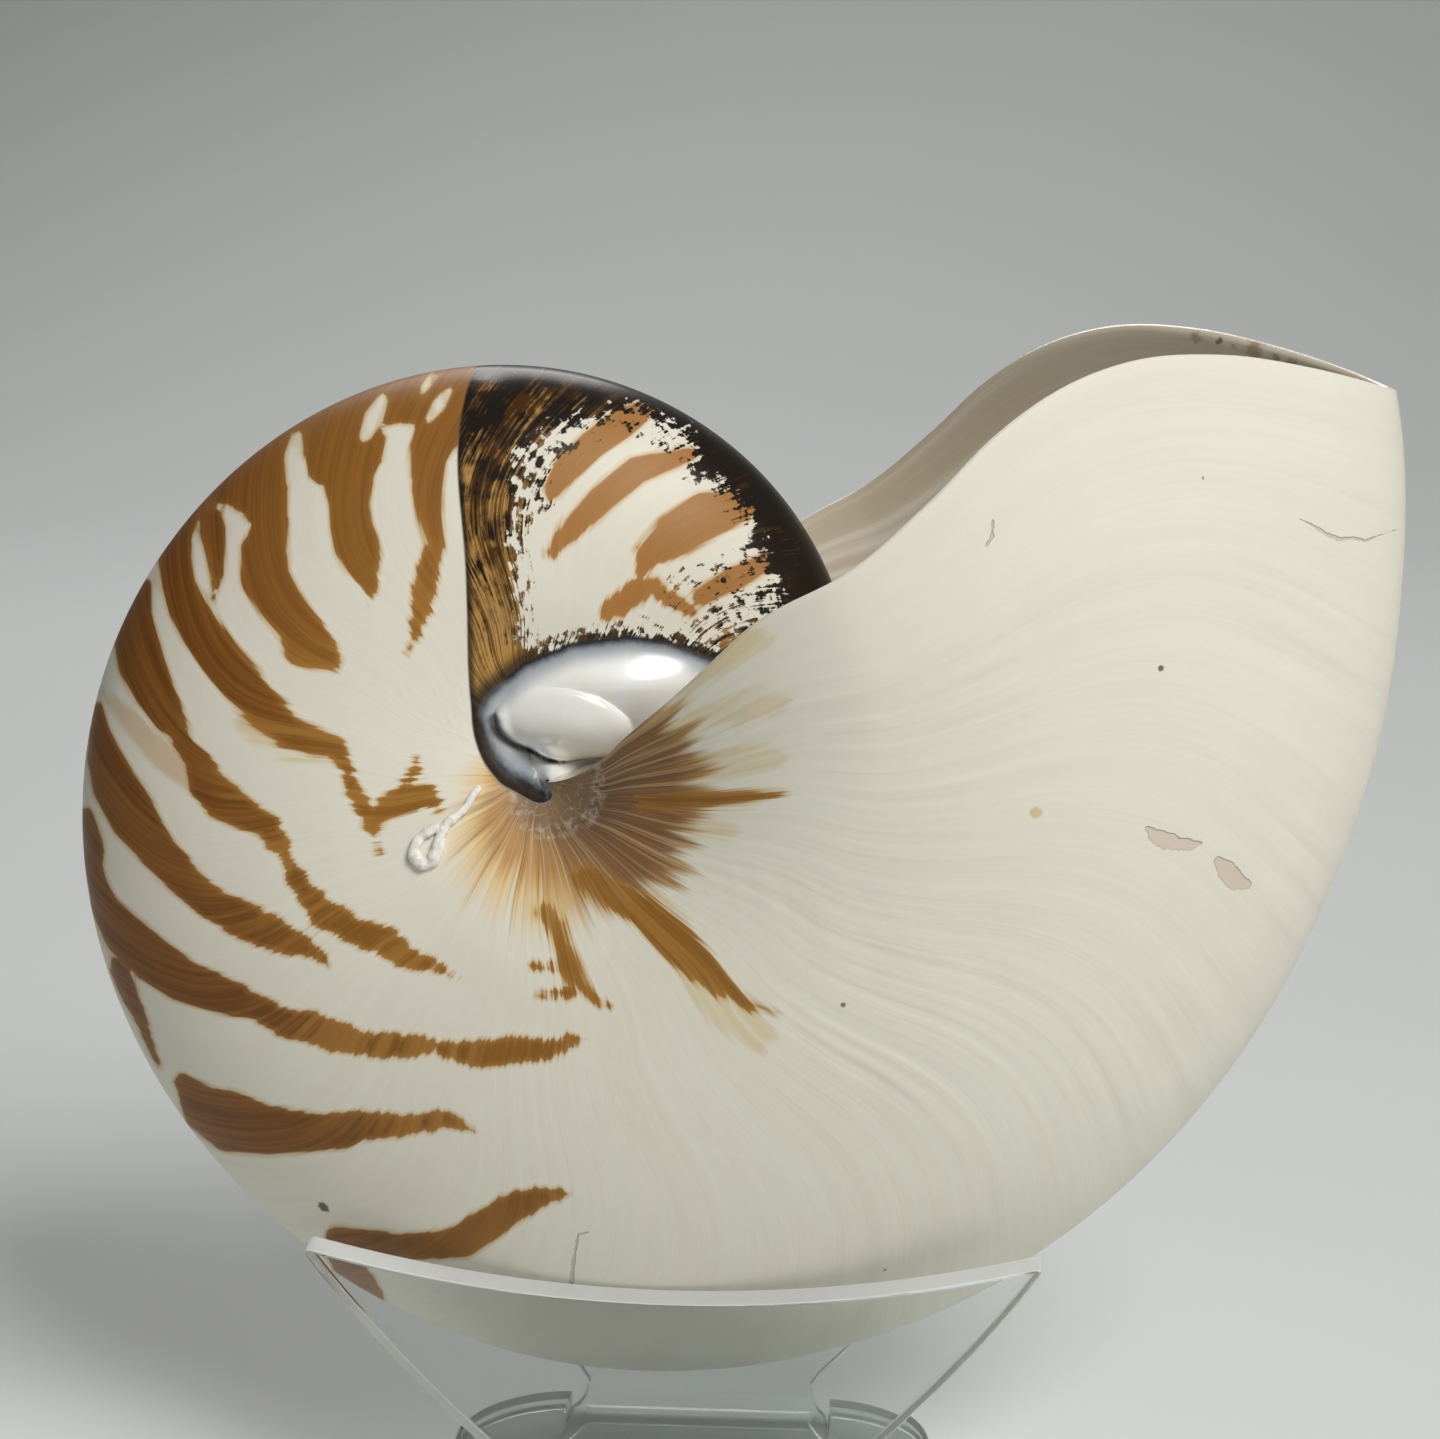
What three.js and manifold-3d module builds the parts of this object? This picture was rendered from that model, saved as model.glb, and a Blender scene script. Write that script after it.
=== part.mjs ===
// Whole chambered nautilus shell resting in a clear bent-sheet stand.
// Millimetres, +Z up, the photographed flank faces -Y, origin under the middle of the stand's base.
import * as THREE from 'three';
import Module from 'manifold-3d';

// Shell: place of the coiling axis, which runs along Y
const AXIS_X = -15.5;
const AXIS_Z = 100;
// Shell: direction of the outer tip of the lip, degrees up from +X
const LIP_DIRECTION = 24.3;
// Shell: radius of the outer curve at turn angles counted back from the tip of the lip
const VENTER = [
  [-540, 22], [-450, 28.7], [-400, 34], [-360, 39.2], [-300, 47.7], [-240, 55.5], [-180, 66.8],
  [-120, 80.2], [-80, 87.9], [-40, 96.6], [-15, 105.5], [0, 112.6], [22, 120.8],
];
// Shell: how far the lip runs ahead of its tip, degrees, at shares of the radius
const LIP_LEAD = [
  [0, 16.4], [0.3, 16.2], [0.4, 13.6], [0.5, 14.1], [0.58, 15], [0.66, 14.5], [0.74, 12.4],
  [0.82, 8.9], [0.9, 4.9], [1, 0],
];
// Shell: whorl half-width as a share of its radius, and where it is widest
const WIDTH_SHARE = 0.348;
const WIDEST_AT = 0.37;
const INNER_DIP = 0.1;
// Shell: how full the flank is at turn angles, rounder on the coil than at the lip
const FLANK_POWER = [[-540, 1.95], [-120, 1.9], [-60, 1.75], [0, 1.53], [22, 1.53]];
// Shell: closed umbilicus, half-width at the axis and rise away from it
const UMBILICUS_HALF = 18.7;
const UMBILICUS_RISE = 0.75;
const BLEND_SHARE = 0.12;
// Shell: pearly hollow beside the lip, half-width at the axis and rise away from it
const HOLLOW_HALF = 8;
const HOLLOW_RISE = 0.55;
const POLE_HALF = 14;
// Shell: rim of the hollow and edge of the dark film, turn angles at shares of the radius
const FILM_EDGE = [
  [0, -70], [0.02, -88], [0.047, -170], [0.094, -205], [0.145, -225], [0.197, -240], [0.247, -252],
  [0.32, -263], [0.41, -272], [0.515, -277], [0.62, -279], [0.82, -281.5], [1, -285],
];
const FILM_START = -337;
const RIM_STEP = 1.2;
// Shell: living chamber, wall thickness outwards and sideways, and the concave back wall
const WALL_OUT = 1.6;
const WALL_SIDE = 1.9;
const CHAMBER_INNER_SHARE = 0.09;
const CHAMBER_BACK = -128;
const CHAMBER_DISH = 16;
const CHAMBER_PAST_LIP = 3;
// Shell: inner coil that is the floor of the living chamber
const INNER_COIL_START = -525;
const INNER_COIL_END = -312;
const INNER_COIL_INSET = 0.25;
// Shell: facets along the turn and across the flank
const FILM_FACETS = 13;
const WHORL_FACETS = 50;
const FLANK_FACETS = 20;
const INNER_COIL_FACETS = 24;
const INNER_FLANK_FACETS = 9;
const CHAMBER_FACETS = 20;
const CHAMBER_DISH_FACETS = 5;
const CHAMBER_FLANK_FACETS = 12;

// Stand: sheet thickness, outward lean of the arms and bend radius
const SHEET = 4;
const ARM_LEAN = 6;
const BEND_INNER = 3;
const BEND_FACETS = 10;
// Stand: inner top edge of each arm at its middle
const ARM_TOP_Y = 21.55;
const ARM_TOP_Z = 36.2;
// Stand: outline of an arm, half-widths and heights, and the point that draws its sides inwards
const ARM_CORNER_HALF = 46;
const ARM_CORNER_Z = 42.6;
const ARM_CORNER_RADIUS = 1.4;
const WAIST_HALF = 15.5;
const WAIST_Z = 7.1;
const ROOT_HALF = 18;
const ROOT_FILLET_Z = 4.8;
const SIDE_PULL_X = 35;
const SIDE_PULL_Z = 25.8;
const ARM_CURVE_FACETS = 14;
// Stand: base outline
const BASE_HALF_X = 32;
const BASE_HALF_Y = 21.5;
const BASE_CORNER = 15;
const BASE_CORNER_FACETS = 12;
// Stand: how far the arms' roots run into the base, lengthwise and across
const ROOT_OVERLAP = 4;
const NECK_OVERLAP = 0.5;
// Stand: how far the blanks that the arms are cut from stand past the finished arm
const BLANK_MARGIN = 4;
const BLANK_DEPTH = 60;

const SHELL_COLOUR = 0xe4dccb;
const ACRYLIC_COLOUR = 0xd5dbdb;

const wasm = await Module();
wasm.setup();

// Smooth curve through a list of [place, value] stations
function through(stations, place) {
  const last = stations.length - 1;
  let i = 0;
  while (i < last - 1 && place > stations[i + 1][0]) i += 1;
  const slope = (k) => {
    const a = stations[Math.max(k - 1, 0)];
    const b = stations[Math.min(k + 1, last)];
    return (b[1] - a[1]) / (b[0] - a[0]);
  };
  const [x0, y0] = stations[i];
  const [x1, y1] = stations[i + 1];
  const span = x1 - x0;
  const t = THREE.MathUtils.clamp((place - x0) / span, 0, 1);
  const t2 = t * t;
  const t3 = t2 * t;
  return (2 * t3 - 3 * t2 + 1) * y0 + (t3 - 2 * t2 + t) * span * slope(i)
    + (3 * t2 - 2 * t3) * y1 + (t3 - t2) * span * slope(i + 1);
}

const LOG_VENTER = VENTER.map(([turn, radius]) => [turn, Math.log(radius)]);
const venterRadius = (turn) => Math.exp(through(LOG_VENTER, turn));

function smoothMin(a, b, width) {
  const h = THREE.MathUtils.clamp(0.5 + (0.5 * (b - a)) / width, 0, 1);
  return b * (1 - h) + a * h - width * h * (1 - h);
}

// Half-width of a whorl at a share of its radius, with the umbilicus filled to the given cone
function halfWidth(turn, share, coneHalf, coneRise) {
  const radius = venterRadius(turn);
  const out = THREE.MathUtils.clamp((share - WIDEST_AT) / (1 - WIDEST_AT), 0, 1);
  const inward = THREE.MathUtils.clamp((WIDEST_AT - share) / WIDEST_AT, 0, 1);
  const power = through(FLANK_POWER, turn);
  const full = Math.pow(1 - Math.pow(out, power), 1 / power);
  const flank = radius * WIDTH_SHARE * full * (1 - INNER_DIP * inward * inward);
  return smoothMin(flank, coneHalf + coneRise * share * radius, BLEND_SHARE * radius);
}

const outerHalf = (turn, share) => halfWidth(turn, share, UMBILICUS_HALF, UMBILICUS_RISE);
const filmHalf = (turn, share) => halfWidth(turn, share, HOLLOW_HALF, HOLLOW_RISE);

// A point of a cross-section: its place in the plane of the coil and its half-width
function sectionPoint(turn, radius, half) {
  const angle = THREE.MathUtils.degToRad(LIP_DIRECTION + turn);
  return { x: AXIS_X + radius * Math.cos(angle), z: AXIS_Z + radius * Math.sin(angle), half };
}

// Shares of the radius, closer together at the axis and at the venter where the flank turns over
function flankShares(count, inner) {
  return Array.from({ length: count + 1 }, (_, j) => {
    if (j === count) return 1;
    return inner + (1 - inner) * 0.5 * (1 - Math.cos((Math.PI * j) / count));
  });
}

// Closed body through cross-sections listed from the axis, or an inner edge, out to the venter
function loftSections(sections, startsOnAxis) {
  const positions = [];
  const triangles = [];
  const rows = sections.length;
  const last = sections[0].length - 1;
  const addPoint = (x, y, z) => positions.push(x, y, z) / 3 - 1;
  const near = [];
  const far = [];
  sections.forEach((section, i) => {
    near.push([]);
    far.push([]);
    section.forEach((point, j) => {
      const shared = startsOnAxis && j === 0 && i > 0;
      near[i].push(shared ? near[0][0] : addPoint(point.x, -point.half, point.z));
      if (j === last) far[i].push(near[i][j]);
      else far[i].push(shared ? far[0][0] : addPoint(point.x, point.half, point.z));
    });
  });
  const quad = (a, b, c, d) => {
    if (a !== b && b !== c && a !== c) triangles.push(a, b, c);
    if (a !== c && c !== d && a !== d) triangles.push(a, c, d);
  };
  for (let i = 0; i < rows - 1; i += 1) {
    for (let j = 0; j < last; j += 1) {
      quad(near[i][j], near[i][j + 1], near[i + 1][j + 1], near[i + 1][j]);
      quad(far[i][j], far[i + 1][j], far[i + 1][j + 1], far[i][j + 1]);
    }
    if (!startsOnAxis) quad(near[i][0], near[i + 1][0], far[i + 1][0], far[i][0]);
  }
  for (let j = 0; j < last; j += 1) {
    quad(near[0][j], far[0][j], far[0][j + 1], near[0][j + 1]);
    const end = rows - 1;
    quad(near[end][j], near[end][j + 1], far[end][j + 1], far[end][j]);
  }
  const geometry = new THREE.BufferGeometry();
  geometry.setAttribute('position', new THREE.Float32BufferAttribute(positions, 3));
  geometry.setIndex(triangles);
  return geometry;
}

// Boolean solids from geometry and back
function toSolid(geometry) {
  const { array, count } = geometry.getAttribute('position');
  const inOrder = Array.from({ length: count }, (_, i) => i);
  const mesh = new wasm.Mesh({
    numProp: 3,
    vertProperties: Float32Array.from(array),
    triVerts: Uint32Array.from(geometry.index ? geometry.index.array : inOrder),
  });
  mesh.merge();
  return new wasm.Manifold(mesh);
}

function toGeometry(solid) {
  const mesh = solid.getMesh();
  const geometry = new THREE.BufferGeometry();
  geometry.setAttribute('position', new THREE.Float32BufferAttribute(mesh.vertProperties, 3));
  geometry.setIndex(new THREE.BufferAttribute(mesh.triVerts, 1));
  geometry.computeVertexNormals();
  return geometry;
}

// One turn of the shell, from the film beside the lip round to the lip itself
function whorlSections() {
  const shares = flankShares(FLANK_FACETS, 0);
  const sections = [];
  const addSection = (turnAt, halfAt) => sections.push(shares.map((share) => {
    const turn = turnAt(share);
    const half = share === 0 ? POLE_HALF : halfAt(turn, share);
    return sectionPoint(turn, share * venterRadius(turn), share === 1 ? 0 : half);
  }));
  for (let i = 0; i <= FILM_FACETS; i += 1) {
    const t = i / FILM_FACETS;
    const rim = (share) => through(FILM_EDGE, share) - RIM_STEP / 2;
    addSection((share) => FILM_START + t * (rim(share) - FILM_START), filmHalf);
  }
  for (let i = 0; i <= WHORL_FACETS; i += 1) {
    const t = i / WHORL_FACETS;
    addSection((share) => {
      const rim = through(FILM_EDGE, share) + RIM_STEP / 2;
      return rim + t * (through(LIP_LEAD, share) - rim);
    }, outerHalf);
  }
  return sections;
}

// Inner coil, set in a little so that it stays under the film and only shows in the chamber
function innerCoilSections() {
  const shares = flankShares(INNER_FLANK_FACETS, 0);
  return Array.from({ length: INNER_COIL_FACETS + 1 }, (_, i) => {
    const turn = INNER_COIL_START + (i / INNER_COIL_FACETS) * (INNER_COIL_END - INNER_COIL_START);
    const radius = venterRadius(turn) - INNER_COIL_INSET;
    return shares.map((share) => {
      const half = Math.max(filmHalf(turn, share) - INNER_COIL_INSET, 0);
      return sectionPoint(turn, share * radius, share === 1 ? 0 : half);
    });
  });
}

// Living chamber: the whorl set in by the wall, closed at the back by a dish
function chamberSections() {
  const shares = flankShares(CHAMBER_FLANK_FACETS, CHAMBER_INNER_SHARE);
  const middle = 0.5 * (1 + CHAMBER_INNER_SHARE);
  const section = (turnAt, size) => shares.map((fullShare) => {
    const share = middle + (fullShare - middle) * size;
    const turn = turnAt(share);
    const radius = venterRadius(turn);
    const outer = outerHalf(turn, share);
    const half = outer * (1 - WALL_SIDE / Math.max(outer, 0.5 * WIDTH_SHARE * radius)) * size;
    return sectionPoint(turn, share * (radius - WALL_OUT), fullShare === 1 ? 0 : half);
  });
  const sections = [];
  for (let i = 1; i < CHAMBER_DISH_FACETS; i += 1) {
    const angle = (0.5 * Math.PI * i) / CHAMBER_DISH_FACETS;
    sections.push(section(() => CHAMBER_BACK - CHAMBER_DISH * Math.cos(angle), Math.sin(angle)));
  }
  for (let i = 0; i <= CHAMBER_FACETS; i += 1) {
    const t = i / CHAMBER_FACETS;
    sections.push(section((share) => {
      const end = through(LIP_LEAD, share) + CHAMBER_PAST_LIP;
      return CHAMBER_BACK + t * (end - CHAMBER_BACK);
    }, 1));
  }
  return sections;
}

function buildShell() {
  const whorl = toSolid(loftSections(whorlSections(), true));
  const chamber = toSolid(loftSections(chamberSections(), false));
  const innerCoil = toSolid(loftSections(innerCoilSections(), true));
  return toGeometry(whorl.subtract(chamber).add(innerCoil));
}

// Side view of the bent sheet: flat foot, bend and leaning arm, extruded across the stand
function armSideSolid() {
  const lean = THREE.MathUtils.degToRad(ARM_LEAN);
  const bendZ = SHEET + BEND_INNER;
  const innerAtBend = ARM_TOP_Y - (ARM_TOP_Z - bendZ) * Math.tan(lean);
  const bendY = innerAtBend - BEND_INNER / Math.cos(lean);
  const reach = (ARM_CORNER_Z + BLANK_MARGIN) / Math.cos(lean);
  const shape = new THREE.Shape();
  const sweep = Math.PI / 2 - lean;
  const arcPoint = (radius, t) => {
    const angle = -Math.PI / 2 + t * sweep;
    return [bendY + radius * Math.cos(angle), bendZ + radius * Math.sin(angle)];
  };
  const outward = [Math.cos(-lean), Math.sin(-lean)];
  const along = [Math.sin(lean), Math.cos(lean)];
  shape.moveTo(bendY - ROOT_OVERLAP, 0);
  for (let i = 0; i <= BEND_FACETS; i += 1) {
    shape.lineTo(...arcPoint(BEND_INNER + SHEET, i / BEND_FACETS));
  }
  for (const radius of [BEND_INNER + SHEET, BEND_INNER]) {
    shape.lineTo(
      bendY + radius * outward[0] + reach * along[0],
      bendZ + radius * outward[1] + reach * along[1],
    );
  }
  for (let i = BEND_FACETS; i >= 0; i -= 1) {
    shape.lineTo(...arcPoint(BEND_INNER, i / BEND_FACETS));
  }
  shape.lineTo(bendY - ROOT_OVERLAP, SHEET);
  shape.closePath();
  const width = 2 * (ARM_CORNER_HALF + BLANK_MARGIN);
  const geometry = new THREE.ExtrudeGeometry(shape, { depth: width, bevelEnabled: false });
  geometry.translate(0, 0, -width / 2);
  // Shape X becomes the outward direction -Y, shape Y becomes Z
  geometry.applyMatrix4(new THREE.Matrix4().makeBasis(
    new THREE.Vector3(0, -1, 0),
    new THREE.Vector3(0, 0, 1),
    new THREE.Vector3(-1, 0, 0),
  ));
  return { solid: toSolid(geometry), bendY };
}

// Front view of an arm: root, waist, flaring sides and concave top edge
function armFrontSolid() {
  const shape = new THREE.Shape();
  // Where the rounded corner leaves the side and the top edge
  const sideX = ARM_CORNER_HALF - 0.6 * ARM_CORNER_RADIUS;
  const sideZ = ARM_CORNER_Z - ARM_CORNER_RADIUS;
  const topX = ARM_CORNER_HALF - 1.2 * ARM_CORNER_RADIUS;
  const topZ = ARM_CORNER_Z - 0.3 * ARM_CORNER_RADIUS;
  shape.moveTo(-ROOT_HALF, -BLANK_MARGIN);
  shape.lineTo(ROOT_HALF, -BLANK_MARGIN);
  shape.lineTo(ROOT_HALF, SHEET);
  shape.quadraticCurveTo(WAIST_HALF, ROOT_FILLET_Z, WAIST_HALF, WAIST_Z);
  shape.quadraticCurveTo(SIDE_PULL_X, SIDE_PULL_Z, sideX, sideZ);
  shape.quadraticCurveTo(ARM_CORNER_HALF, ARM_CORNER_Z, topX, topZ);
  shape.quadraticCurveTo(0, 2 * ARM_TOP_Z - topZ, -topX, topZ);
  shape.quadraticCurveTo(-ARM_CORNER_HALF, ARM_CORNER_Z, -sideX, sideZ);
  shape.quadraticCurveTo(-SIDE_PULL_X, SIDE_PULL_Z, -WAIST_HALF, WAIST_Z);
  shape.quadraticCurveTo(-WAIST_HALF, ROOT_FILLET_Z, -ROOT_HALF, SHEET);
  shape.closePath();
  const geometry = new THREE.ExtrudeGeometry(shape, {
    depth: BLANK_DEPTH, bevelEnabled: false, curveSegments: ARM_CURVE_FACETS,
  });
  // The outline is cut square to the leaning sheet, with its top middle on the inner top edge
  geometry.translate(0, -ARM_TOP_Z, -BLANK_DEPTH / 2);
  geometry.rotateX(Math.PI / 2 + THREE.MathUtils.degToRad(ARM_LEAN));
  geometry.translate(0, -ARM_TOP_Y, ARM_TOP_Z);
  return toSolid(geometry);
}

// Base with rounded corners, cut back at the necks so that the bends can rise from it
function baseSolid(bendY) {
  const shape = new THREE.Shape();
  const x = BASE_HALF_X;
  const y = BASE_HALF_Y;
  const r = BASE_CORNER;
  const neck = ROOT_HALF - NECK_OVERLAP;
  shape.moveTo(neck, bendY);
  shape.absarc(x - r, y - r, r, Math.acos((neck - x + r) / r), 0, true);
  shape.absarc(x - r, -y + r, r, 0, -Math.acos((neck - x + r) / r), true);
  shape.lineTo(neck, -bendY);
  shape.lineTo(-neck, -bendY);
  shape.absarc(-x + r, -y + r, r, -Math.PI + Math.acos((neck - x + r) / r), -Math.PI, true);
  shape.absarc(-x + r, y - r, r, Math.PI, Math.PI - Math.acos((neck - x + r) / r), true);
  shape.lineTo(-neck, bendY);
  shape.closePath();
  return toSolid(new THREE.ExtrudeGeometry(shape, {
    depth: SHEET, bevelEnabled: false, curveSegments: BASE_CORNER_FACETS,
  }));
}

function buildStand() {
  const { solid: side, bendY } = armSideSolid();
  const frontArm = side.intersect(armFrontSolid());
  // The arms are alike, half a turn about the upright axis apart
  const rearArm = toSolid(toGeometry(frontArm).rotateZ(Math.PI));
  return toGeometry(baseSolid(bendY).add(frontArm).add(rearArm));
}

const nautilusShell = new THREE.Mesh(buildShell(), new THREE.MeshStandardMaterial({
  color: SHELL_COLOUR, roughness: 0.45, metalness: 0,
}));
nautilusShell.name = 'nautilus_shell';

const acrylicStand = new THREE.Mesh(buildStand(), new THREE.MeshStandardMaterial({
  color: ACRYLIC_COLOUR, roughness: 0.08, metalness: 0, transparent: true, opacity: 0.35,
}));
acrylicStand.name = 'acrylic_stand';

const part = new THREE.Group();
part.name = 'nautilus_on_stand';
part.add(nautilusShell, acrylicStand);

export default part;
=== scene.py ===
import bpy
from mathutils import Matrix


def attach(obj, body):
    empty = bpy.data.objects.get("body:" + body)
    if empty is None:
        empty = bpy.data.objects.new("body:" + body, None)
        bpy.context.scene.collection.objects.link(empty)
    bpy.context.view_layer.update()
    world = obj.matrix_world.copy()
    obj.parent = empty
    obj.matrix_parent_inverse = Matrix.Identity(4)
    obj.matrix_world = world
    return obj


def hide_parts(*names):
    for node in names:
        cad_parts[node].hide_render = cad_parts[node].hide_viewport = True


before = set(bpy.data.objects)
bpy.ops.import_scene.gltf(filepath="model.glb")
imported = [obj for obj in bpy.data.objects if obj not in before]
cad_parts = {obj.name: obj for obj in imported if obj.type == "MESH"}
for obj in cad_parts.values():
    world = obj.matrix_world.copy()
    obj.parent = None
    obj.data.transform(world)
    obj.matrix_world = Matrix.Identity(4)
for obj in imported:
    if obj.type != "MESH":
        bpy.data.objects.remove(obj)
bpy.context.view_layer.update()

# Nautilus shell with flame stripes in a clear bent-sheet stand, seen from its near flank

from types import SimpleNamespace

import bmesh
import bpy
import numpy as np
from mathutils import Euler, Vector

MM = 0.001
# Least length that is divided by
TINY = 1e-9

# Shell: place of the coiling axis, millimetres, and direction of the lip's outer tip, degrees up from +X
AXIS_X = -15.5
AXIS_Z = 100.0
LIP_DIRECTION = 24.3
# Shell: radius of the outer curve at turn angles counted back from the tip of the lip
VENTER = [
    (-540, 22), (-450, 28.7), (-400, 34), (-360, 39.2), (-300, 47.7), (-240, 55.5), (-180, 66.8),
    (-120, 80.2), (-80, 87.9), (-40, 96.6), (-15, 105.5), (0, 112.6), (22, 120.8),
]
# Shell: how far the lip runs ahead of its tip, degrees, at shares of the radius
LIP_LEAD = [
    (0, -12), (0.042, -1), (0.076, 6), (0.105, 10.5), (0.17, 13), (0.23, 15), (0.3, 16.2), (0.4, 13.6),
    (0.5, 14.1), (0.58, 15), (0.66, 14.5), (0.74, 12.4), (0.82, 8.9), (0.9, 4.9), (1, 0),
]
# Shell: turn past which a place belongs to the whorl before, degrees, just over the lip's greatest lead
LIP_MOST = 16.4
# Shell: whorl half-width as a share of its radius, where it is widest, and how full the flank is
WIDTH_SHARE = 0.348
WIDEST_AT = 0.37
INNER_DIP = 0.1
FLANK_POWER = [(-540, 1.95), (-120, 1.9), (-60, 1.75), (0, 1.53), (22, 1.53)]
# Shell: closed umbilicus, half-width at the axis, rise away from it, and how softly it meets the flank
UMBILICUS_HALF = 18.7
UMBILICUS_RISE = 0.75
BLEND_SHARE = 0.12
# Shell: pearly hollow beside the lip, half-width and rise, and reach and curve of the wall below its rim
HOLLOW_HALF = 9.5
HOLLOW_RISE = 0.55
HOLLOW_WALL = 4.6
HOLLOW_WALL_POWER = 1.6
# Shell: rounded boss in the hollow, its middle from the axis, reaches, tilt and height
BOSS_X = 1.8
BOSS_Z = 6.6
BOSS_REACH_X = 8.4
BOSS_REACH_Z = 4.9
BOSS_TILT = -8.0
BOSS_HEIGHT = 3.2
# Shell: how much lower the boss gets for each millimetre upwards, and how far from the rim it is full
BOSS_LEAN = 0.35
BOSS_CLEAR = 3.0
# Shell: low swell above the boss, its middle and reaches sideways, upwards and downwards, and its height
SWELL_X = 5.0
SWELL_Z = 11.2
SWELL_REACH_X = 14.0
SWELL_REACH_UP = 3.6
SWELL_REACH_DOWN = 8.0
SWELL_HEIGHT = 3.4
# Shell: rim of the hollow and edge of the dark film, turn angles at shares of the radius
FILM_EDGE = [
    (0, -70), (0.02, -88), (0.047, -170), (0.094, -205), (0.145, -225), (0.197, -239.5),
    (0.247, -250.5), (0.32, -260), (0.41, -267.5), (0.515, -272.6), (0.62, -275.4), (0.82, -278.4),
    (1, -282),
]
# Shell: upper edge of the pearl in the hollow, from the axis, millimetres
PEARL_EDGE = [
    (-12, -4), (-9.6, 6), (-7.6, 10.4), (-3, 14.4), (3, 16.9), (9.6, 17.7), (14.5, 17.0), (21, 14.2),
    (30, 9),
]
# Shell: living chamber, wall thickness at the lip and deeper in, inner edge, and the concave back wall
LIP_WALL = 1.1
WALL = 1.9
CHAMBER_INNER_SHARE = 0.09
CHAMBER_BACK = -128.0
CHAMBER_DISH = 16.0
# Shell: growth ridges, heights in millimetres, waves per degree of growth and offsets
RIDGES = [
    (0.045, 0.31, 0.4), (0.055, 0.53, 2.1), (0.05, 0.97, 4.0), (0.035, 1.71, 1.2), (0.022, 2.83, 5.1),
]
# Shell: slow changes along the growth in the spacing of the ridges and in their height
RIDGE_WOBBLE = 0.04
RIDGE_WOBBLE_RATE = 0.11
CALM_MEAN = 0.55
CALM_SWING = 0.45
CALM_RATE = 0.21
CALM_BEND = 1.7
CALM_BEND_RATE = 0.083
# Shell: height of the ridges on old growth, gain towards the lip, and shares over which they fade
RIDGE_OLD = 0.35
RIDGE_GAIN = 0.9
RIDGE_GAIN_FROM = -120.0
RIDGE_GAIN_SPAN = 110.0
RIDGE_AXIS_FADE = 0.25
RIDGE_VENTER_FADE = 0.05
# Shell: grid steps along the turn and across the flank
FILM_ROWS = 84
WHORL_ROWS = 220
LIP_ROWS = 9
CHAMBER_ROWS = 60
FILL_ROWS = 12
AXIS_COLUMNS = 22
FLANK_COLUMNS = 92
# Shell: even and crowded part of the steps across the flank, and crowding of the chamber's rows to the lip
EVEN_PART = 0.45
CROWDED_PART = 0.55
CHAMBER_CROWDING = 1.4
# Shell: columns over which the lip's round grows, and the part of its half turn that has the outer finish
LIP_FADE = 12
LIP_OUTER_PART = 0.4
# Shell: degrees behind the lip over which the wall thickens, and least half-width as a share of the widest
WALL_TAPER = 40.0
WALL_LEAST = 0.5
# Shell: angle between faces that stays crisp, and the distance within which points are one, millimetres
SHELL_CRISP = 55.0
WELD = 0.0002

# Shell: zones of its surface
OUTER = 0
FILM = 1
CHAMBER = 2
# Value of a signed distance where its mark can't be
FAR_OFF = -30.0
# Far flank: how far its stripes bend away from the near one's mirror image, pixels
FAR_BEND = 30.0
# Far flank: distance from the middle plane over which that grows, millimetres
FAR_FADE = 16.0
# Far flank: rates and offsets of the bending waves, sideways and upwards
FAR_WAVES = ((0.085, 1.0), (0.062, 2.6))
# Pearl: dark margin along the rim, millimetres, and the turn behind which the older coil is pearl again
PEARL_MARGIN = 0.7
PEARL_DEEP_TURN = -372.0
# Pearl: near lip and axis the margin goes, over degrees of turn and points of the rim, by millimetres
PEARL_LIP_TURN = -350.0
PEARL_LIP_FADE = 80.0
PEARL_RIM_START = 1.0
PEARL_RIM_FADE = 6.0
PEARL_LIP_GAIN = 2.4

# Camera: place in millimetres, turn to the left and tilt down in degrees, focal length in photograph pixels
CAMERA = np.array([32.37, -376.2, 180.9])
CAMERA_YAW = 4.28
CAMERA_PITCH = 11.476
FOCAL_PIXELS = 3033.5
PHOTO_WIDTH = 1440
PHOTO_HEIGHT = 1439
SENSOR_MM = 36.0
# Camera: steps in which the place where a sight line meets the shell is found
SIGHT_STEPS = 40

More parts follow.
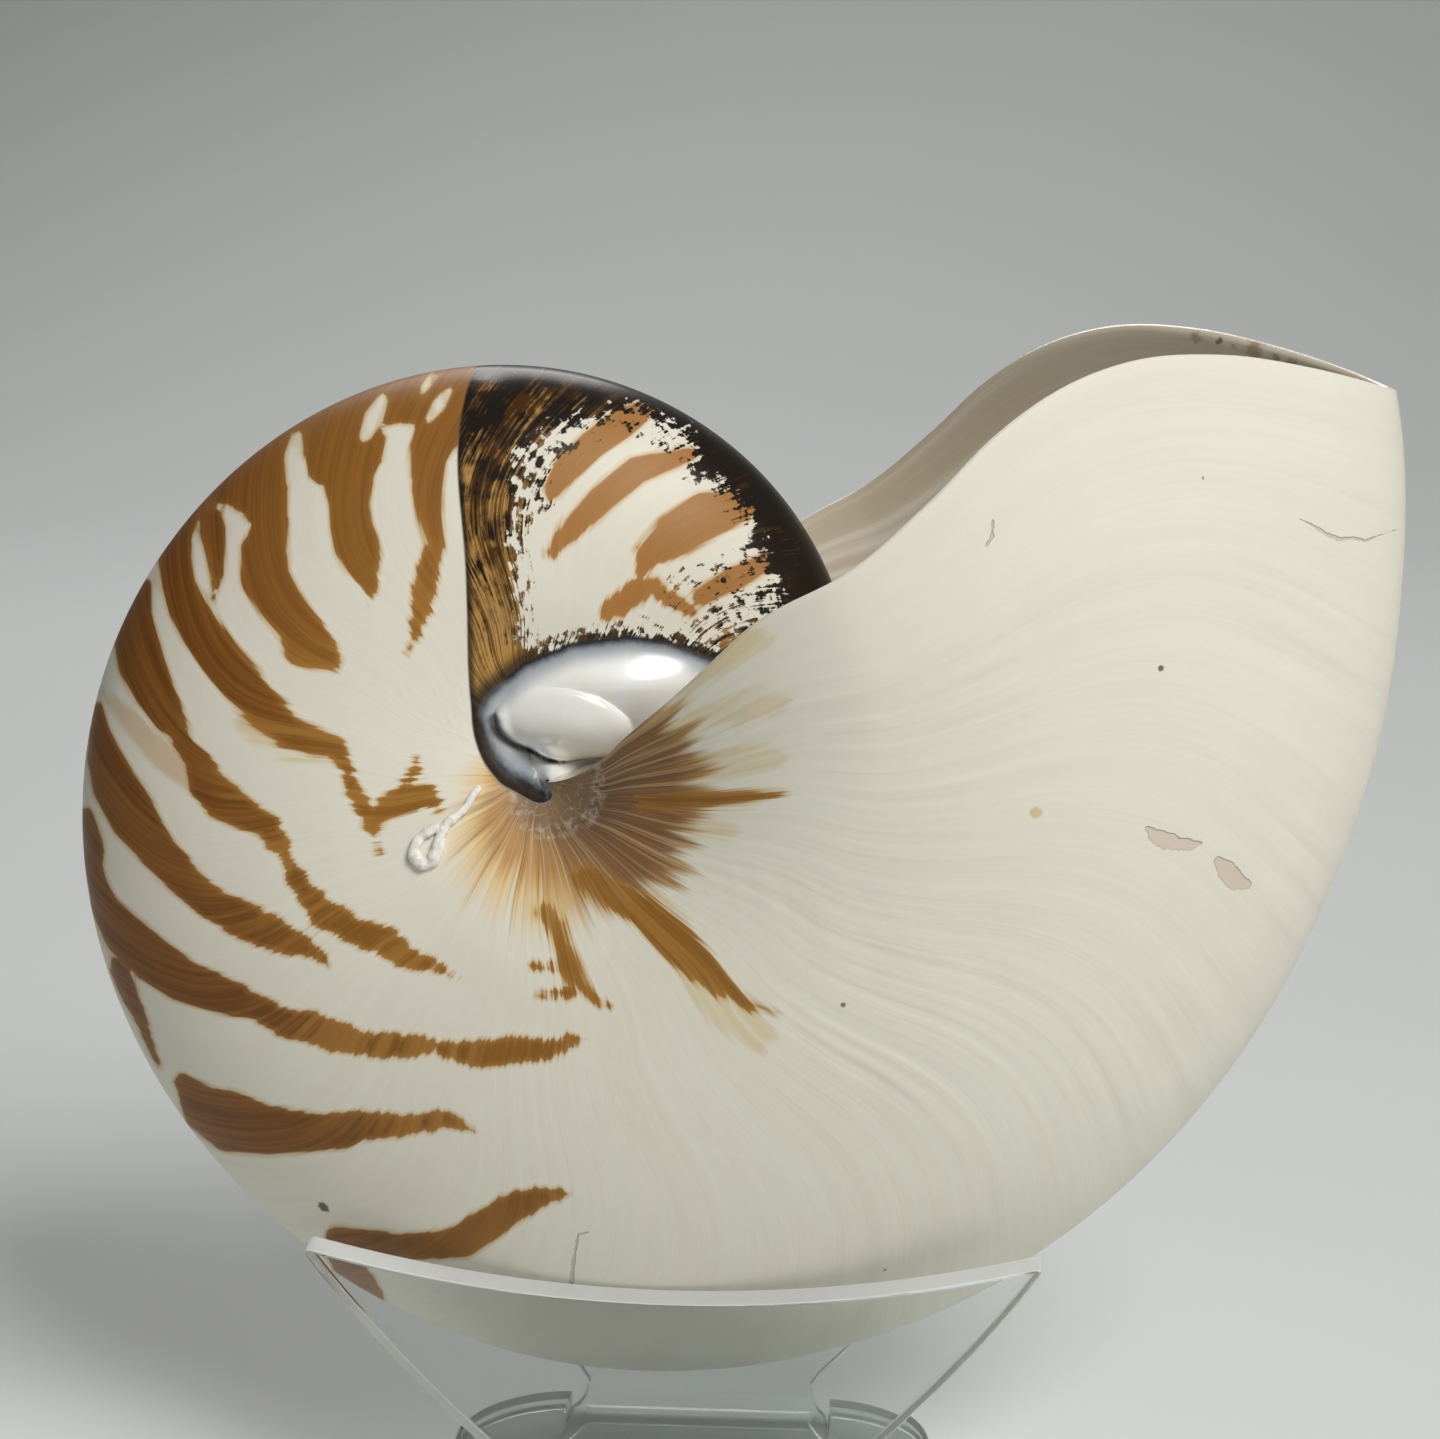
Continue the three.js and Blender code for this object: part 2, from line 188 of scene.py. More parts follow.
# Flames: strokes of orange-brown on the near flank, photograph pixels and half-width in pixels
FLAMES = [
    [(462, 372, 16), (452, 395, 20), (441, 426, 24), (430, 457, 17), (427, 487, 16), (430, 516, 13),
     (436, 545, 10), (428, 569, 12), (424, 592, 12), (419, 616, 9), (415, 636, 4), (408, 652, 1)],
    [(466, 372, 16), (455, 397, 24), (444, 424, 26), (430, 450, 19), (426, 475, 16)],
    [(300, 424, 16), (330, 410, 24), (370, 398, 30), (410, 392, 30), (440, 398, 30)],
    [(352, 400, 24), (345, 430, 42), (343, 455, 40), (344, 468, 38), (347, 483, 26), (348, 505, 21),
     (350, 529, 22), (355, 545, 24), (362, 565, 20), (369, 583, 10), (370, 603, 1)],
    [(318, 416, 14), (280, 440, 22), (262, 462, 30), (255, 482, 34), (262, 500, 28), (272, 522, 17),
     (265, 551, 24), (266, 578, 26), (279, 601, 25), (298, 626, 23), (308, 645, 26), (322, 655, 18),
     (336, 666, 7)],
    [(226, 488, 12), (209, 508, 10), (212, 530, 13), (215, 552, 10), (217, 575, 7), (214, 600, 1)],
    [(194, 510, 9), (178, 532, 15), (174, 557, 17), (178, 585, 17), (187, 608, 20), (201, 632, 22),
     (222, 660, 22), (243, 684, 23), (262, 708, 19), (289, 731, 15), (315, 742, 15), (334, 747, 11),
     (346, 766, 7), (354, 792, 8), (365, 808, 8), (372, 826, 7), (379, 850, 2)],
    [(374, 822, 7), (388, 808, 13), (406, 800, 16), (424, 796, 14), (437, 806, 6)],
    [(405, 786, 8), (416, 770, 6), (416, 760, 2)],
    [(146, 585, 6), (136, 616, 16), (136, 640, 22), (141, 665, 23), (154, 694, 20), (169, 719, 15),
     (192, 743, 4)],
    [(182, 742, 10), (198, 762, 14), (207, 785, 18), (222, 800, 20), (243, 813, 16), (267, 826, 12),
     (283, 851, 8), (299, 884, 7), (322, 912, 14), (353, 930, 13), (385, 941, 13), (406, 958, 11),
     (435, 966, 5), (464, 981, 1)],
    [(98, 706, 4), (99, 733, 11), (104, 757, 17), (114, 784, 22), (135, 819, 25), (156, 848, 20),
     (181, 876, 17), (214, 905, 16), (246, 923, 18), (274, 934, 17), (296, 944, 11), (317, 953, 6),
     (329, 966, 1)],
    [(86, 815, 8), (93, 846, 11), (95, 876, 9), (103, 905, 13), (124, 934, 21), (153, 959, 23),
     (182, 980, 22), (217, 994, 19), (253, 1007, 14), (289, 1023, 14), (324, 1032, 16), (360, 1044, 12),
     (396, 1046, 13), (431, 1046, 10), (453, 1051, 5), (481, 1055, 11), (517, 1050, 13), (549, 1050, 8),
     (567, 1041, 3), (593, 1041, 2)],
    [(118, 968, 9), (130, 995, 9), (141, 1020, 6), (152, 1050, 4), (160, 1066, 2)],
    [(182, 1082, 8), (204, 1108, 24), (232, 1122, 30), (267, 1130, 24), (303, 1131, 20),
     (339, 1130, 18), (367, 1126, 14), (399, 1126, 13), (428, 1121, 9), (446, 1119, 5), (474, 1130, 1)],
    [(372, 1292, 15), (355, 1270, 17), (336, 1238, 11), (364, 1243, 13), (399, 1247, 13),
     (435, 1246, 14), (464, 1240, 18), (489, 1224, 17), (517, 1205, 15), (546, 1196, 9),
     (566, 1193, 2)],
    [(546, 912, 9), (556, 925, 9), (563, 945, 8), (571, 966, 10), (580, 985, 8), (592, 1000, 5),
     (612, 1007, 2)],
    [(532, 966, 2), (562, 967, 3)],
    [(540, 995, 2), (582, 992, 3)],
    [(585, 878, 14), (612, 895, 15), (645, 910, 18), (672, 935, 20), (698, 962, 18), (722, 985, 12),
     (750, 1005, 7), (778, 1016, 2)],
    [(640, 803, 7), (665, 802, 11), (695, 800, 11), (722, 799, 8), (750, 797, 8), (775, 795, 5),
     (788, 793, 3)],
]
# Flames: pale gaps in them, pixels as above
FLAME_GAPS = [
    [(366, 436, 6), (374, 417, 9), (383, 399, 5)],
    [(429, 419, 4), (438, 405, 7), (448, 391, 4)],
    [(419, 396, 3), (426, 386, 5), (434, 375, 4)],
    [(297, 436, 5), (294, 456, 9), (298, 480, 12)],
    [(398, 434, 5), (398, 452, 12)],
    [(215, 505, 3), (240, 517, 5), (235, 535, 8)],
]
# Thin golden washes beside flames and fan, pixels as above
WASHES = [
    [(102, 690, 6), (130, 722, 14), (165, 756, 18), (205, 786, 16)],
    [(690, 950, 16), (705, 985, 22), (730, 1012, 24), (760, 1036, 20)],
    [(250, 722, 14), (290, 745, 20), (332, 752, 14)],
    [(640, 738, 12), (690, 722, 16), (735, 712, 18), (775, 705, 18)],
    [(640, 700, 8), (690, 668, 12), (735, 650, 16), (770, 645, 10)],
    [(660, 770, 14), (720, 765, 18), (770, 755, 14)],
    [(640, 830, 12), (690, 828, 12), (730, 830, 8)],
    [(540, 912, 12), (560, 905, 16), (600, 880, 16)],
]
# Film: strokes of stripe that show where it has worn off, pixels as above
FILM_FLAMES = [
    [(645, 408, 10), (622, 424, 15), (592, 444, 14), (566, 468, 13), (552, 490, 9)],
    [(690, 454, 7), (668, 461, 10), (636, 470, 14), (600, 500, 14), (574, 527, 13), (552, 553, 6)],
    [(738, 506, 17), (706, 515, 24), (673, 536, 23), (648, 555, 15), (642, 571, 6)],
    [(656, 584, 8), (634, 594, 14), (610, 611, 10)],
    [(650, 588, 6), (672, 600, 10), (690, 610, 6)],
    [(770, 560, 9), (735, 578, 12), (700, 596, 9)],
]
# Film: outline of the worn patch, pixels
WORN_PATCH = [
    (524, 447), (561, 424), (597, 421), (636, 407), (652, 419), (686, 432), (697, 458), (690, 474),
    (717, 484), (739, 506), (750, 525), (759, 553), (776, 593), (780, 609), (709, 652), (687, 636),
    (636, 632), (592, 630), (549, 646), (524, 640), (520, 593), (513, 536), (524, 508), (513, 480),
]
# Film: where black specks are left on the worn patch, pixels as above, and how deep inside it that counts
SPECKLED = [
    [(690, 590, 26), (740, 590, 44), (790, 590, 40)],
    [(720, 630, 30), (760, 620, 30)],
    [(560, 440, 22), (530, 470, 24), (545, 500, 14)],
    [(640, 425, 14), (690, 450, 16)],
]
SPECKLED_DEPTH = 0.7
# Hollow: half-width of the painted shade along the crease under the boss, millimetres, and how it thins up
# and to the right
CREASE_SHADE_HALF = 0.36
CREASE_TOP_LOSS = 4.0
CREASE_TOP_FROM = -0.1
CREASE_RIGHT_LOSS = 0.6
CREASE_RIGHT_FROM = -4.0
CREASE_RIGHT_SPAN = 8.0
# Hollow: places where a highlight is painted into the pearl's colour, pixels as above
PAINTED_HIGHLIGHT_STROKES = [
    [(596, 664, 8), (632, 668, 20), (668, 664, 18), (690, 652, 8)],
    [(622, 690, 6), (622, 712, 4)],
]
# Chips and cracks in the outer layer, pixels and half-width in pixels
CHIPS = [
    [(1148, 829, 3), (1158, 838, 8), (1168, 841, 9), (1178, 844, 7), (1190, 845, 6), (1200, 843, 2)],
    [(1218, 861, 5), (1226, 870, 10), (1236, 881, 10), (1248, 885, 4)],
]
CRACKS = [
    [(1300, 519, 0.3), (1314, 526, 0.8), (1326, 534, 1.4), (1338, 539, 1.8), (1352, 538, 1.3),
     (1366, 541, 1.3), (1378, 536, 0.6), (1396, 530, 0.4)],
    [(588, 1232, 0.4), (578, 1235, 0.8), (574, 1258, 1.4), (571, 1284, 2.2)],
    [(986, 546, 0.8), (992, 537, 2.2), (993, 520, 0.4)],
]
# Small stains: pixel, side (-1 near flank, 1 inside of the far wall), radius in millimetres and colour
SPECKS = [
    ((323, 1207), -1, 1.05, (0.03, 0.02, 0.015)),
    ((1161, 668), -1, 0.48, (0.10, 0.03, 0.01)),
    ((843, 1005), -1, 0.40, (0.14, 0.08, 0.04)),
    ((885, 1270), -1, 0.30, (0.20, 0.12, 0.06)),
    ((1203, 478), -1, 0.26, (0.40, 0.22, 0.10)),
    ((1036, 813), -1, 0.95, (0.66, 0.52, 0.27)),
    ((1221, 341), 1, 0.80, (0.08, 0.05, 0.03)),
    ((1236, 346), 1, 0.70, (0.10, 0.06, 0.03)),
    ((1279, 356), 1, 0.90, (0.06, 0.04, 0.02)),
    ((1308, 369), 1, 0.60, (0.14, 0.09, 0.05)),
    ((1198, 337), 1, 1.10, (0.36, 0.27, 0.17)),
    ((1256, 351), 1, 1.80, (0.34, 0.25, 0.15)),
    ((1296, 365), 1, 1.50, (0.34, 0.25, 0.15)),
]
# Brown fan round the umbilicus: reach in millimetres at turn angles
FAN_REACH = [
    (-340, 7), (-260, 7), (-205, 10.5), (-174, 14), (-144, 16), (-114, 17), (-90, 17), (-72, 17.5),
    (-60, 19), (-48, 20), (-36, 20), (-27, 21), (-18, 21), (-6, 22), (4, 22), (12, 20), (17, 18),
]
# White worm tube on the flank: pixels and radius in millimetres
WORM_TUBE = [
    (480, 786, 0.40), (472, 797, 0.46), (466, 807, 0.52), (456, 816, 0.52), (447, 824, 0.60),
    (441, 836, 0.70), (438, 850, 0.78), (431, 861, 0.82), (421, 862, 0.80), (415, 852, 0.72),
    (419, 839, 0.68), (429, 831, 0.62), (439, 826, 0.55),
]
# White worm tube: steps between its points, sides, and heights and rates of its swellings
TUBE_STEPS = 12
TUBE_SIDES = 16
TUBE_SWELLS = ((0.10, 2.3), (0.06, 5.9))
# White worm tube: how far it stands off the flank and how flat it is, in shares of its radius
TUBE_STAND_OFF = 0.6
TUBE_FLAT = 0.85
# Stand: sheet thickness, lean of the arms and bend radius, in millimetres and degrees
SHEET = 4.0
ARM_LEAN = 6.0
BEND_INNER = 3.0
# Stand: middle of an arm's top edge on the inner face, and its corners, up the sheet
ARM_TOP_Y = 21.55
ARM_TOP_Z = 36.2
ARM_CORNER_HALF = 46.0
ARM_CORNER_Z = 42.6
ARM_CORNER_RADIUS = 1.4
# Stand: where an arm's rounded corner starts and ends, in corner radii from the sharp corner
CORNER_SIDE_IN = 0.6
CORNER_TOP_IN = 1.2
CORNER_TOP_DOWN = 0.3
# Stand: narrow waist over the bend, root of the arm in the base, and the point that draws the arm's side
WAIST_HALF = 15.5
WAIST_Z = 7.1
ROOT_HALF = 18.0
ROOT_FILLET_Z = 4.8
SIDE_PULL = (35.0, 25.8)
# Stand: base with rounded ears, and the least step from its neck to the next point of an ear
BASE_HALF_X = 32.0
BASE_HALF_Y = 21.5
BASE_CORNER = 15.0
NECK_GAP = 0.2
# Stand: steps round its curves, rounding of its cut edges in millimetres, and angles that count as edges
BEND_STEPS = 14
CURVE_STEPS = 28
CORNER_STEPS = 6
EDGE_ROUND = 0.3
EDGE_SEGMENTS = 2
EDGE_TURN = 60.0
STAND_CRISP = 40.0

# Floor: height, a little below the stand so that the clear sheet doesn't touch it, millimetres
FLOOR_Z = -0.4
# Floor: front and back of the flat part, round and top of the wall behind it, and half its width
FLOOR_FRONT = -9000.0
FLOOR_BACK = 900.0
FLOOR_ROUND = 700.0
FLOOR_TOP = 3000.0
FLOOR_HALF = 7000.0
FLOOR_STEPS = 24
FLOOR_WALL_STEPS = 10
FLOOR_COLUMNS = 15
# Lights: name, place, size of the square in metres, power in watts and colour
LIGHTS = [
    ("key", (0.52, -0.68, 0.92), 0.5, 11.8, (1.0, 0.99, 0.97)),
    ("fill", (-0.9, -0.7, 0.45), 0.9, 0.3, (1.0, 0.97, 0.91)),
    ("back", (-0.2, 0.9, 1.0), 0.7, 6.0, (1.0, 0.99, 0.97)),
]
# Lights: place they look at, and colour and strength of the surroundings
LIGHT_AIM = (0.0, 0.0, 0.08)
SURROUNDINGS = (0.86, 0.83, 0.76, 1.0)
SURROUNDINGS_STRENGTH = 0.10

# Shell colours, linear
CREAM = (0.82, 0.795, 0.68)
CREAM_WARM = (0.80, 0.765, 0.65)
CREAM_ROSE = (0.80, 0.735, 0.64)
CREAM_LINE = (0.66, 0.60, 0.47)
FLAME = (0.295, 0.112, 0.019)
FLAME_DARK = (0.165, 0.060, 0.009)
FLAME_GOLD = (0.31, 0.142, 0.021)
FLAME_LIGHT = (0.45, 0.215, 0.045)
FLAME_EDGE = (0.60, 0.40, 0.13)
FLAME_WORN = (0.47, 0.220, 0.062)
WASH = (0.67, 0.47, 0.125)
WASH_TAN = (0.60, 0.40, 0.20)
FAN_MAUVE = (0.118, 0.051, 0.018)
FAN_BROWN = (0.215, 0.082, 0.012)
FAN_GOLD = (0.42, 0.220, 0.048)
FAN_OLD = (0.50, 0.250, 0.070)
FAN_YELLOW = (0.82, 0.54, 0.18)
FAN_PALE = (0.66, 0.47, 0.24)
CALLUS = (0.27, 0.178, 0.10)
CALLUS_CRACK = (0.62, 0.56, 0.47)
FILM_BLACK = (0.016, 0.012, 0.009)
FILM_BROWN = (0.065, 0.027, 0.007)
FILM_GOLD = (0.50, 0.280, 0.080)
PEARL_WHITE = (0.97, 0.97, 0.95)
# Painted highlight: the pearl's colour where the hollow catches the light
PEARL_PAINTED_HIGHLIGHT = (0.98, 0.99, 0.98)
PEARL_BLUE = (0.36, 0.40, 0.44)
PEARL_DARK = (0.020, 0.020, 0.024)
PEARL_WARM = (0.93, 0.91, 0.84)
CHAMBER_WALL = (0.56, 0.48, 0.355)
CHIP = (0.60, 0.41, 0.31)
CRACK_AND_CHIP_SHADE = (0.25, 0.20, 0.15)
TUBE_WHITE = (0.95, 0.94, 0.88)
TUBE_GREY = (0.78, 0.75, 0.67)
# Colours of acrylic and floor, linear
ACRYLIC_TINT = (0.95, 0.975, 0.965)
FLOOR_GREY = (0.67, 0.70, 0.70)
FLOOR_PALE = (0.70, 0.73, 0.73)
# Roughness of the finishes; a pair holds the smoother and the more matt places
CREAM_ROUGH = (0.42, 0.50)
FILM_ROUGH = 0.27
PEARL_ROUGH = 0.26
TUBE_ROUGH = 0.7
ACRYLIC_ROUGH = (0.02, 0.06)
EDGE_ROUGH = 0.45
FLOOR_ROUGH = 0.65
# Shell: strength of its plain shine, and roughness and refraction of the clear coat on the pearl
SHELL_SHINE = 0.25
PEARL_COAT_ROUGH = 0.2
PEARL_COAT_IOR = 1.8
# Acrylic: refraction, and how much light goes through the broad faces and the cut edge
ACRYLIC_IOR = 1.49
CLEAR_THROUGH = 1.0
EDGE_THROUGH = 0.45
# Fine relief: heights in millimetres of ribs on old and new growth, lines, film, breaks, grain and chalk
RIBS_OLD = 0.05
RIBS_NEW = 0.62
LINES_HEIGHT = 0.025
FILM_HEIGHT = 0.06
BREAK_HEIGHT = -0.25
GRAIN_HEIGHT = 0.012
CHALK_HEIGHT = 0.12
RELIEF_STRENGTH = 0.8
# Streaks: change for each metre across the shell, so that its two flanks differ
STREAK_SIDE = 25.0


def through(stations, place):
    """Smooth curve through (place, value) stations: cubic pieces with the slopes of neighbours' chords."""
    places, values = np.array(stations, float).T
    slopes = np.empty_like(values)
    slopes[1:-1] = (values[2:] - values[:-2]) / (places[2:] - places[:-2])
    slopes[0] = (values[1] - values[0]) / (places[1] - places[0])
    slopes[-1] = (values[-1] - values[-2]) / (places[-1] - places[-2])
    i = np.clip(np.searchsorted(places, place) - 1, 0, len(places) - 2)
    span = places[i + 1] - places[i]
    t = np.clip((place - places[i]) / span, 0, 1)
    return ((2 * t**3 - 3 * t**2 + 1) * values[i] + (t**3 - 2 * t**2 + t) * span * slopes[i]
            + (3 * t**2 - 2 * t**3) * values[i + 1] + (t**3 - t**2) * span * slopes[i + 1])


LOG_VENTER = [(turn, np.log(radius)) for turn, radius in VENTER]


def venter_radius(turn):
    """Radius of the outer curve: the exponential of a smooth curve through the logs of its stations."""
    return np.exp(through(LOG_VENTER, turn))


def smooth_min(a, b, width):
    """The lower of two heights, rounded where they cross within the width."""
    h = np.clip(0.5 + 0.5 * (b - a) / width, 0, 1)
    return b * (1 - h) + a * h - width * h * (1 - h)


def ease(x):
    """Soft step from 0 to 1."""
    x = np.clip(x, 0, 1)
    return x * x * (3 - 2 * x)


def half_width(turn, share, cone_half, cone_rise):
    """Half-width of the whorl: a superellipse from the widest place to the venter, a cone at the axis."""
    radius = venter_radius(turn)
    out = np.clip((share - WIDEST_AT) / (1 - WIDEST_AT), 0, 1)
    inward = np.clip((WIDEST_AT - share) / WIDEST_AT, 0, 1)
    power = through(FLANK_POWER, turn)
    full = np.maximum(1 - out**power, 0) ** (1 / power)
    flank = radius * WIDTH_SHARE * full * (1 - INNER_DIP * inward**2)
    return smooth_min(flank, cone_half + cone_rise * share * radius, BLEND_SHARE * radius)


def growth_of(turn, share):
    """Growth coordinate in degrees: the turn angle at which the lip once stood there."""
    return turn - through(LIP_LEAD, share)


def ridge_height(turn, share):
    """Growth ridges: sine waves along the growth, strong and calm by turns, stronger towards the lip."""
    growth = growth_of(turn, share)
    wobble = 1 + RIDGE_WOBBLE * np.sin(growth * RIDGE_WOBBLE_RATE)
    waves = sum(high * np.sin(2 * np.pi * often * growth * wobble + start) for high, often, start in RIDGES)
    slow = CALM_RATE * growth + CALM_BEND * np.sin(CALM_BEND_RATE * growth)
    waves = waves * (CALM_MEAN + CALM_SWING * np.sin(slow))
    newer = RIDGE_OLD + RIDGE_GAIN * ease((growth - RIDGE_GAIN_FROM) / RIDGE_GAIN_SPAN)
    return waves * newer * ease(share / RIDGE_AXIS_FADE) * ease((1 - share) / RIDGE_VENTER_FADE)


def flat_place(turn, radius):
    """Place in the plane of the coil, from the axis."""
    angle = np.radians(LIP_DIRECTION + turn)
    return radius * np.cos(angle), radius * np.sin(angle)


def path_distance(x, z, path):
    """Least distance from each point to a path of straight pieces, and the share along it where that is."""
    points = np.stack([np.ravel(x), np.ravel(z)], -1)
    path = np.asarray(path, float)
    best = np.full(len(points), np.inf)
    along = np.zeros(len(points))
    for k in range(len(path) - 1):
        step = path[k + 1] - path[k]
        t = np.clip(((points - path[k]) @ step) / max(step @ step, TINY), 0, 1)
        gap = np.hypot(*(points - path[k] - t[:, None] * step).T)
        along = np.where(gap < best, k + t, along)
        best = np.minimum(best, gap)
    return best.reshape(np.shape(x)), along.reshape(np.shape(x))


# Rim of the hollow as a path in the plane of the coil, with finer steps close to the axis
RIM_SHARES = np.concatenate([np.linspace(0, 0.3, 60), np.linspace(0.32, 1, 30)])
RIM_TURNS = through(FILM_EDGE, RIM_SHARES)
RIM_PATH = np.stack(flat_place(RIM_TURNS, RIM_SHARES * venter_radius(RIM_TURNS)), -1)


def outer_half(turn, share):
    """Half-width of the last whorl with its growth ridges."""
    return half_width(turn, share, UMBILICUS_HALF, UMBILICUS_RISE) + ridge_height(turn, share)


RIM_HALVES = outer_half(RIM_TURNS, RIM_SHARES)


def boss_height(x, z):
    """Rounded boss in the hollow: half an ellipsoid, tilted in the coil's plane, lower towards its top.
    Gives its height, the share of its reach, which is 1 at its edge, and the part of that which is up."""
    tilt = np.radians(BOSS_TILT)
    u = ((x - BOSS_X) * np.cos(tilt) + (z - BOSS_Z) * np.sin(tilt)) / BOSS_REACH_X
    v = (-(x - BOSS_X) * np.sin(tilt) + (z - BOSS_Z) * np.cos(tilt)) / BOSS_REACH_Z
    height = (BOSS_HEIGHT - BOSS_LEAN * (z - BOSS_Z)) * np.sqrt(np.maximum(1 - u**2 - v**2, 0))
    return height, np.hypot(u, v), v


def film_half(turn, share):
    """Half-width beside the lip: the older flank with its hollow, a sloping wall below the rim, the boss,
    and over it a swell that falls off as the exponential of the squared distance."""
    radius = share * venter_radius(turn)
    x, z = flat_place(turn, radius)
    gap, along = path_distance(x, z, RIM_PATH)
    floor = half_width(turn, share, HOLLOW_HALF, HOLLOW_RISE)
    rim = np.interp(along, np.arange(len(RIM_HALVES)), RIM_HALVES)
    wall = (1 - np.clip(gap / HOLLOW_WALL, 0, 1)) ** HOLLOW_WALL_POWER
    swell_reach = np.where(z > SWELL_Z, SWELL_REACH_UP, SWELL_REACH_DOWN)
    swell = SWELL_HEIGHT * np.exp(-((x - SWELL_X) / SWELL_REACH_X)**2 - ((z - SWELL_Z) / swell_reach)**2)
    return floor + (rim - floor) * wall + (boss_height(x, z)[0] + swell) * ease(gap / BOSS_CLEAR)


def shell_point(turn, radius, half, side):
    """A point in millimetres from its turn angle, radius, half-width and side."""
    x, z = flat_place(turn, radius)
    return np.stack(np.broadcast_arrays(AXIS_X + x, side * half, AXIS_Z + z), -1)


def camera_axes():
    """Forward, right and up of the camera, from its yaw and pitch."""
    yaw, pitch = np.radians(-CAMERA_YAW), np.radians(CAMERA_PITCH)
    forward = np.array([np.sin(yaw) * np.cos(pitch), np.cos(yaw) * np.cos(pitch), -np.sin(pitch)])
    right = np.array([np.cos(yaw), -np.sin(yaw), 0.0])
    return forward, right, np.cross(right, forward)


def flank_hit(pixels, side=-1):
    """Places where the sight lines of photograph pixels meet the near flank, or the inside of the far wall.
    Repeated steps: the half-width at the last place gives the next one."""
    forward, right, up = camera_axes()
    px, py = np.asarray(pixels, float).T
    sight = (forward + ((px - PHOTO_WIDTH / 2) / FOCAL_PIXELS)[:, None] * right
             - ((py - PHOTO_HEIGHT / 2) / FOCAL_PIXELS)[:, None] * up)
    y = np.full(len(px), side * UMBILICUS_HALF)
    for _ in range(SIGHT_STEPS):
        place = CAMERA + ((y - CAMERA[1]) / sight[:, 1])[:, None] * sight
        x, z = place[:, 0] - AXIS_X, place[:, 2] - AXIS_Z
        turn = np.degrees(np.arctan2(z, x)) - LIP_DIRECTION
        turn = np.where(turn > LIP_MOST, turn - 360, turn)
        share = np.clip(np.hypot(x, z) / venter_radius(turn), 0, 1)
        half = outer_half(turn, share) if side < 0 else wall_offsets(turn, share)[1]
        y = 0.5 * y + 0.5 * side * half
    return place


def photo_pixels(points):
    """Photograph pixels of places in millimetres, and the millimetres that a pixel covers there."""
    forward, right, up = camera_axes()
    sight = points - CAMERA
    depth = sight @ forward
    px = PHOTO_WIDTH / 2 + FOCAL_PIXELS * (sight @ right) / depth
    py = PHOTO_HEIGHT / 2 - FOCAL_PIXELS * (sight @ up) / depth
    return px, py, depth / FOCAL_PIXELS


def stroke_field(view, strokes):
    """Signed distance in millimetres to painted strokes, positive inside: half-width less path distance.
    View holds pixel columns, rows and sizes of the points."""
    px, py, size = view
    field = np.full(np.shape(px), FAR_OFF)
    for stroke in strokes:
        path = np.array(stroke, float)
        gap, along = path_distance(px, py, path[:, :2])
        field = np.maximum(field, (np.interp(along, np.arange(len(path)), path[:, 2]) - gap) * size)
    return field


def patch_field(view, outline):
    """Signed distance in millimetres to a closed outline, positive inside, by winding number."""
    px, py, size = view
    path = np.array(outline + outline[:1], float)
    gap, _ = path_distance(px, py, path)
    winding = np.zeros(np.shape(px))
    for k in range(len(path) - 1):
        ax, ay = path[k, 0] - px, path[k, 1] - py
        bx, by = path[k + 1, 0] - px, path[k + 1, 1] - py
        winding += np.arctan2(ax * by - ay * bx, ax * bx + ay * by)
    return np.where(np.abs(winding) > np.pi, gap, -gap) * size


def cosine_steps(count):
    """Steps from 0 to 1 that lie closer together at both ends, mixed with even ones."""
    even = np.linspace(0, 1, count + 1)
    return EVEN_PART * even + CROWDED_PART * 0.5 * (1 - np.cos(np.pi * even))


def whorl_shares():
    """Shares of the radius across the flank: fine steps to the chamber's inner edge, then to the venter."""
    inner = np.linspace(0, CHAMBER_INNER_SHARE, AXIS_COLUMNS + 1)
    outer = CHAMBER_INNER_SHARE + (1 - CHAMBER_INNER_SHARE) * cosine_steps(FLANK_COLUMNS)
    return np.concatenate([inner[:-1], outer])


def coil_shares(turn):
    """Shares of the older coil under the lip: its inner columns lie under those of the whorl above it."""
    inner_edge = CHAMBER_INNER_SHARE * venter_radius(turn + 360) / venter_radius(turn)
    inner = np.linspace(0, 1, AXIS_COLUMNS + 1)[:-1] * inner_edge
    outer = inner_edge + (1 - inner_edge) * cosine_steps(FLANK_COLUMNS)
    return np.concatenate([inner, outer])


def wall_offsets(turn, share):
    """Place of the chamber's inner wall: radius and half-width of the whorl less the wall's thickness."""
    behind_lip = np.clip(-growth_of(turn, share) / WALL_TAPER, 0, 1)
    thick = LIP_WALL + (WALL - LIP_WALL) * behind_lip
    radius = venter_radius(turn)
    outer = half_width(turn, share, UMBILICUS_HALF, UMBILICUS_RISE)
    half = outer * (1 - thick / np.maximum(outer, WALL_LEAST * WIDTH_SHARE * radius))
    return share * (radius - thick), half


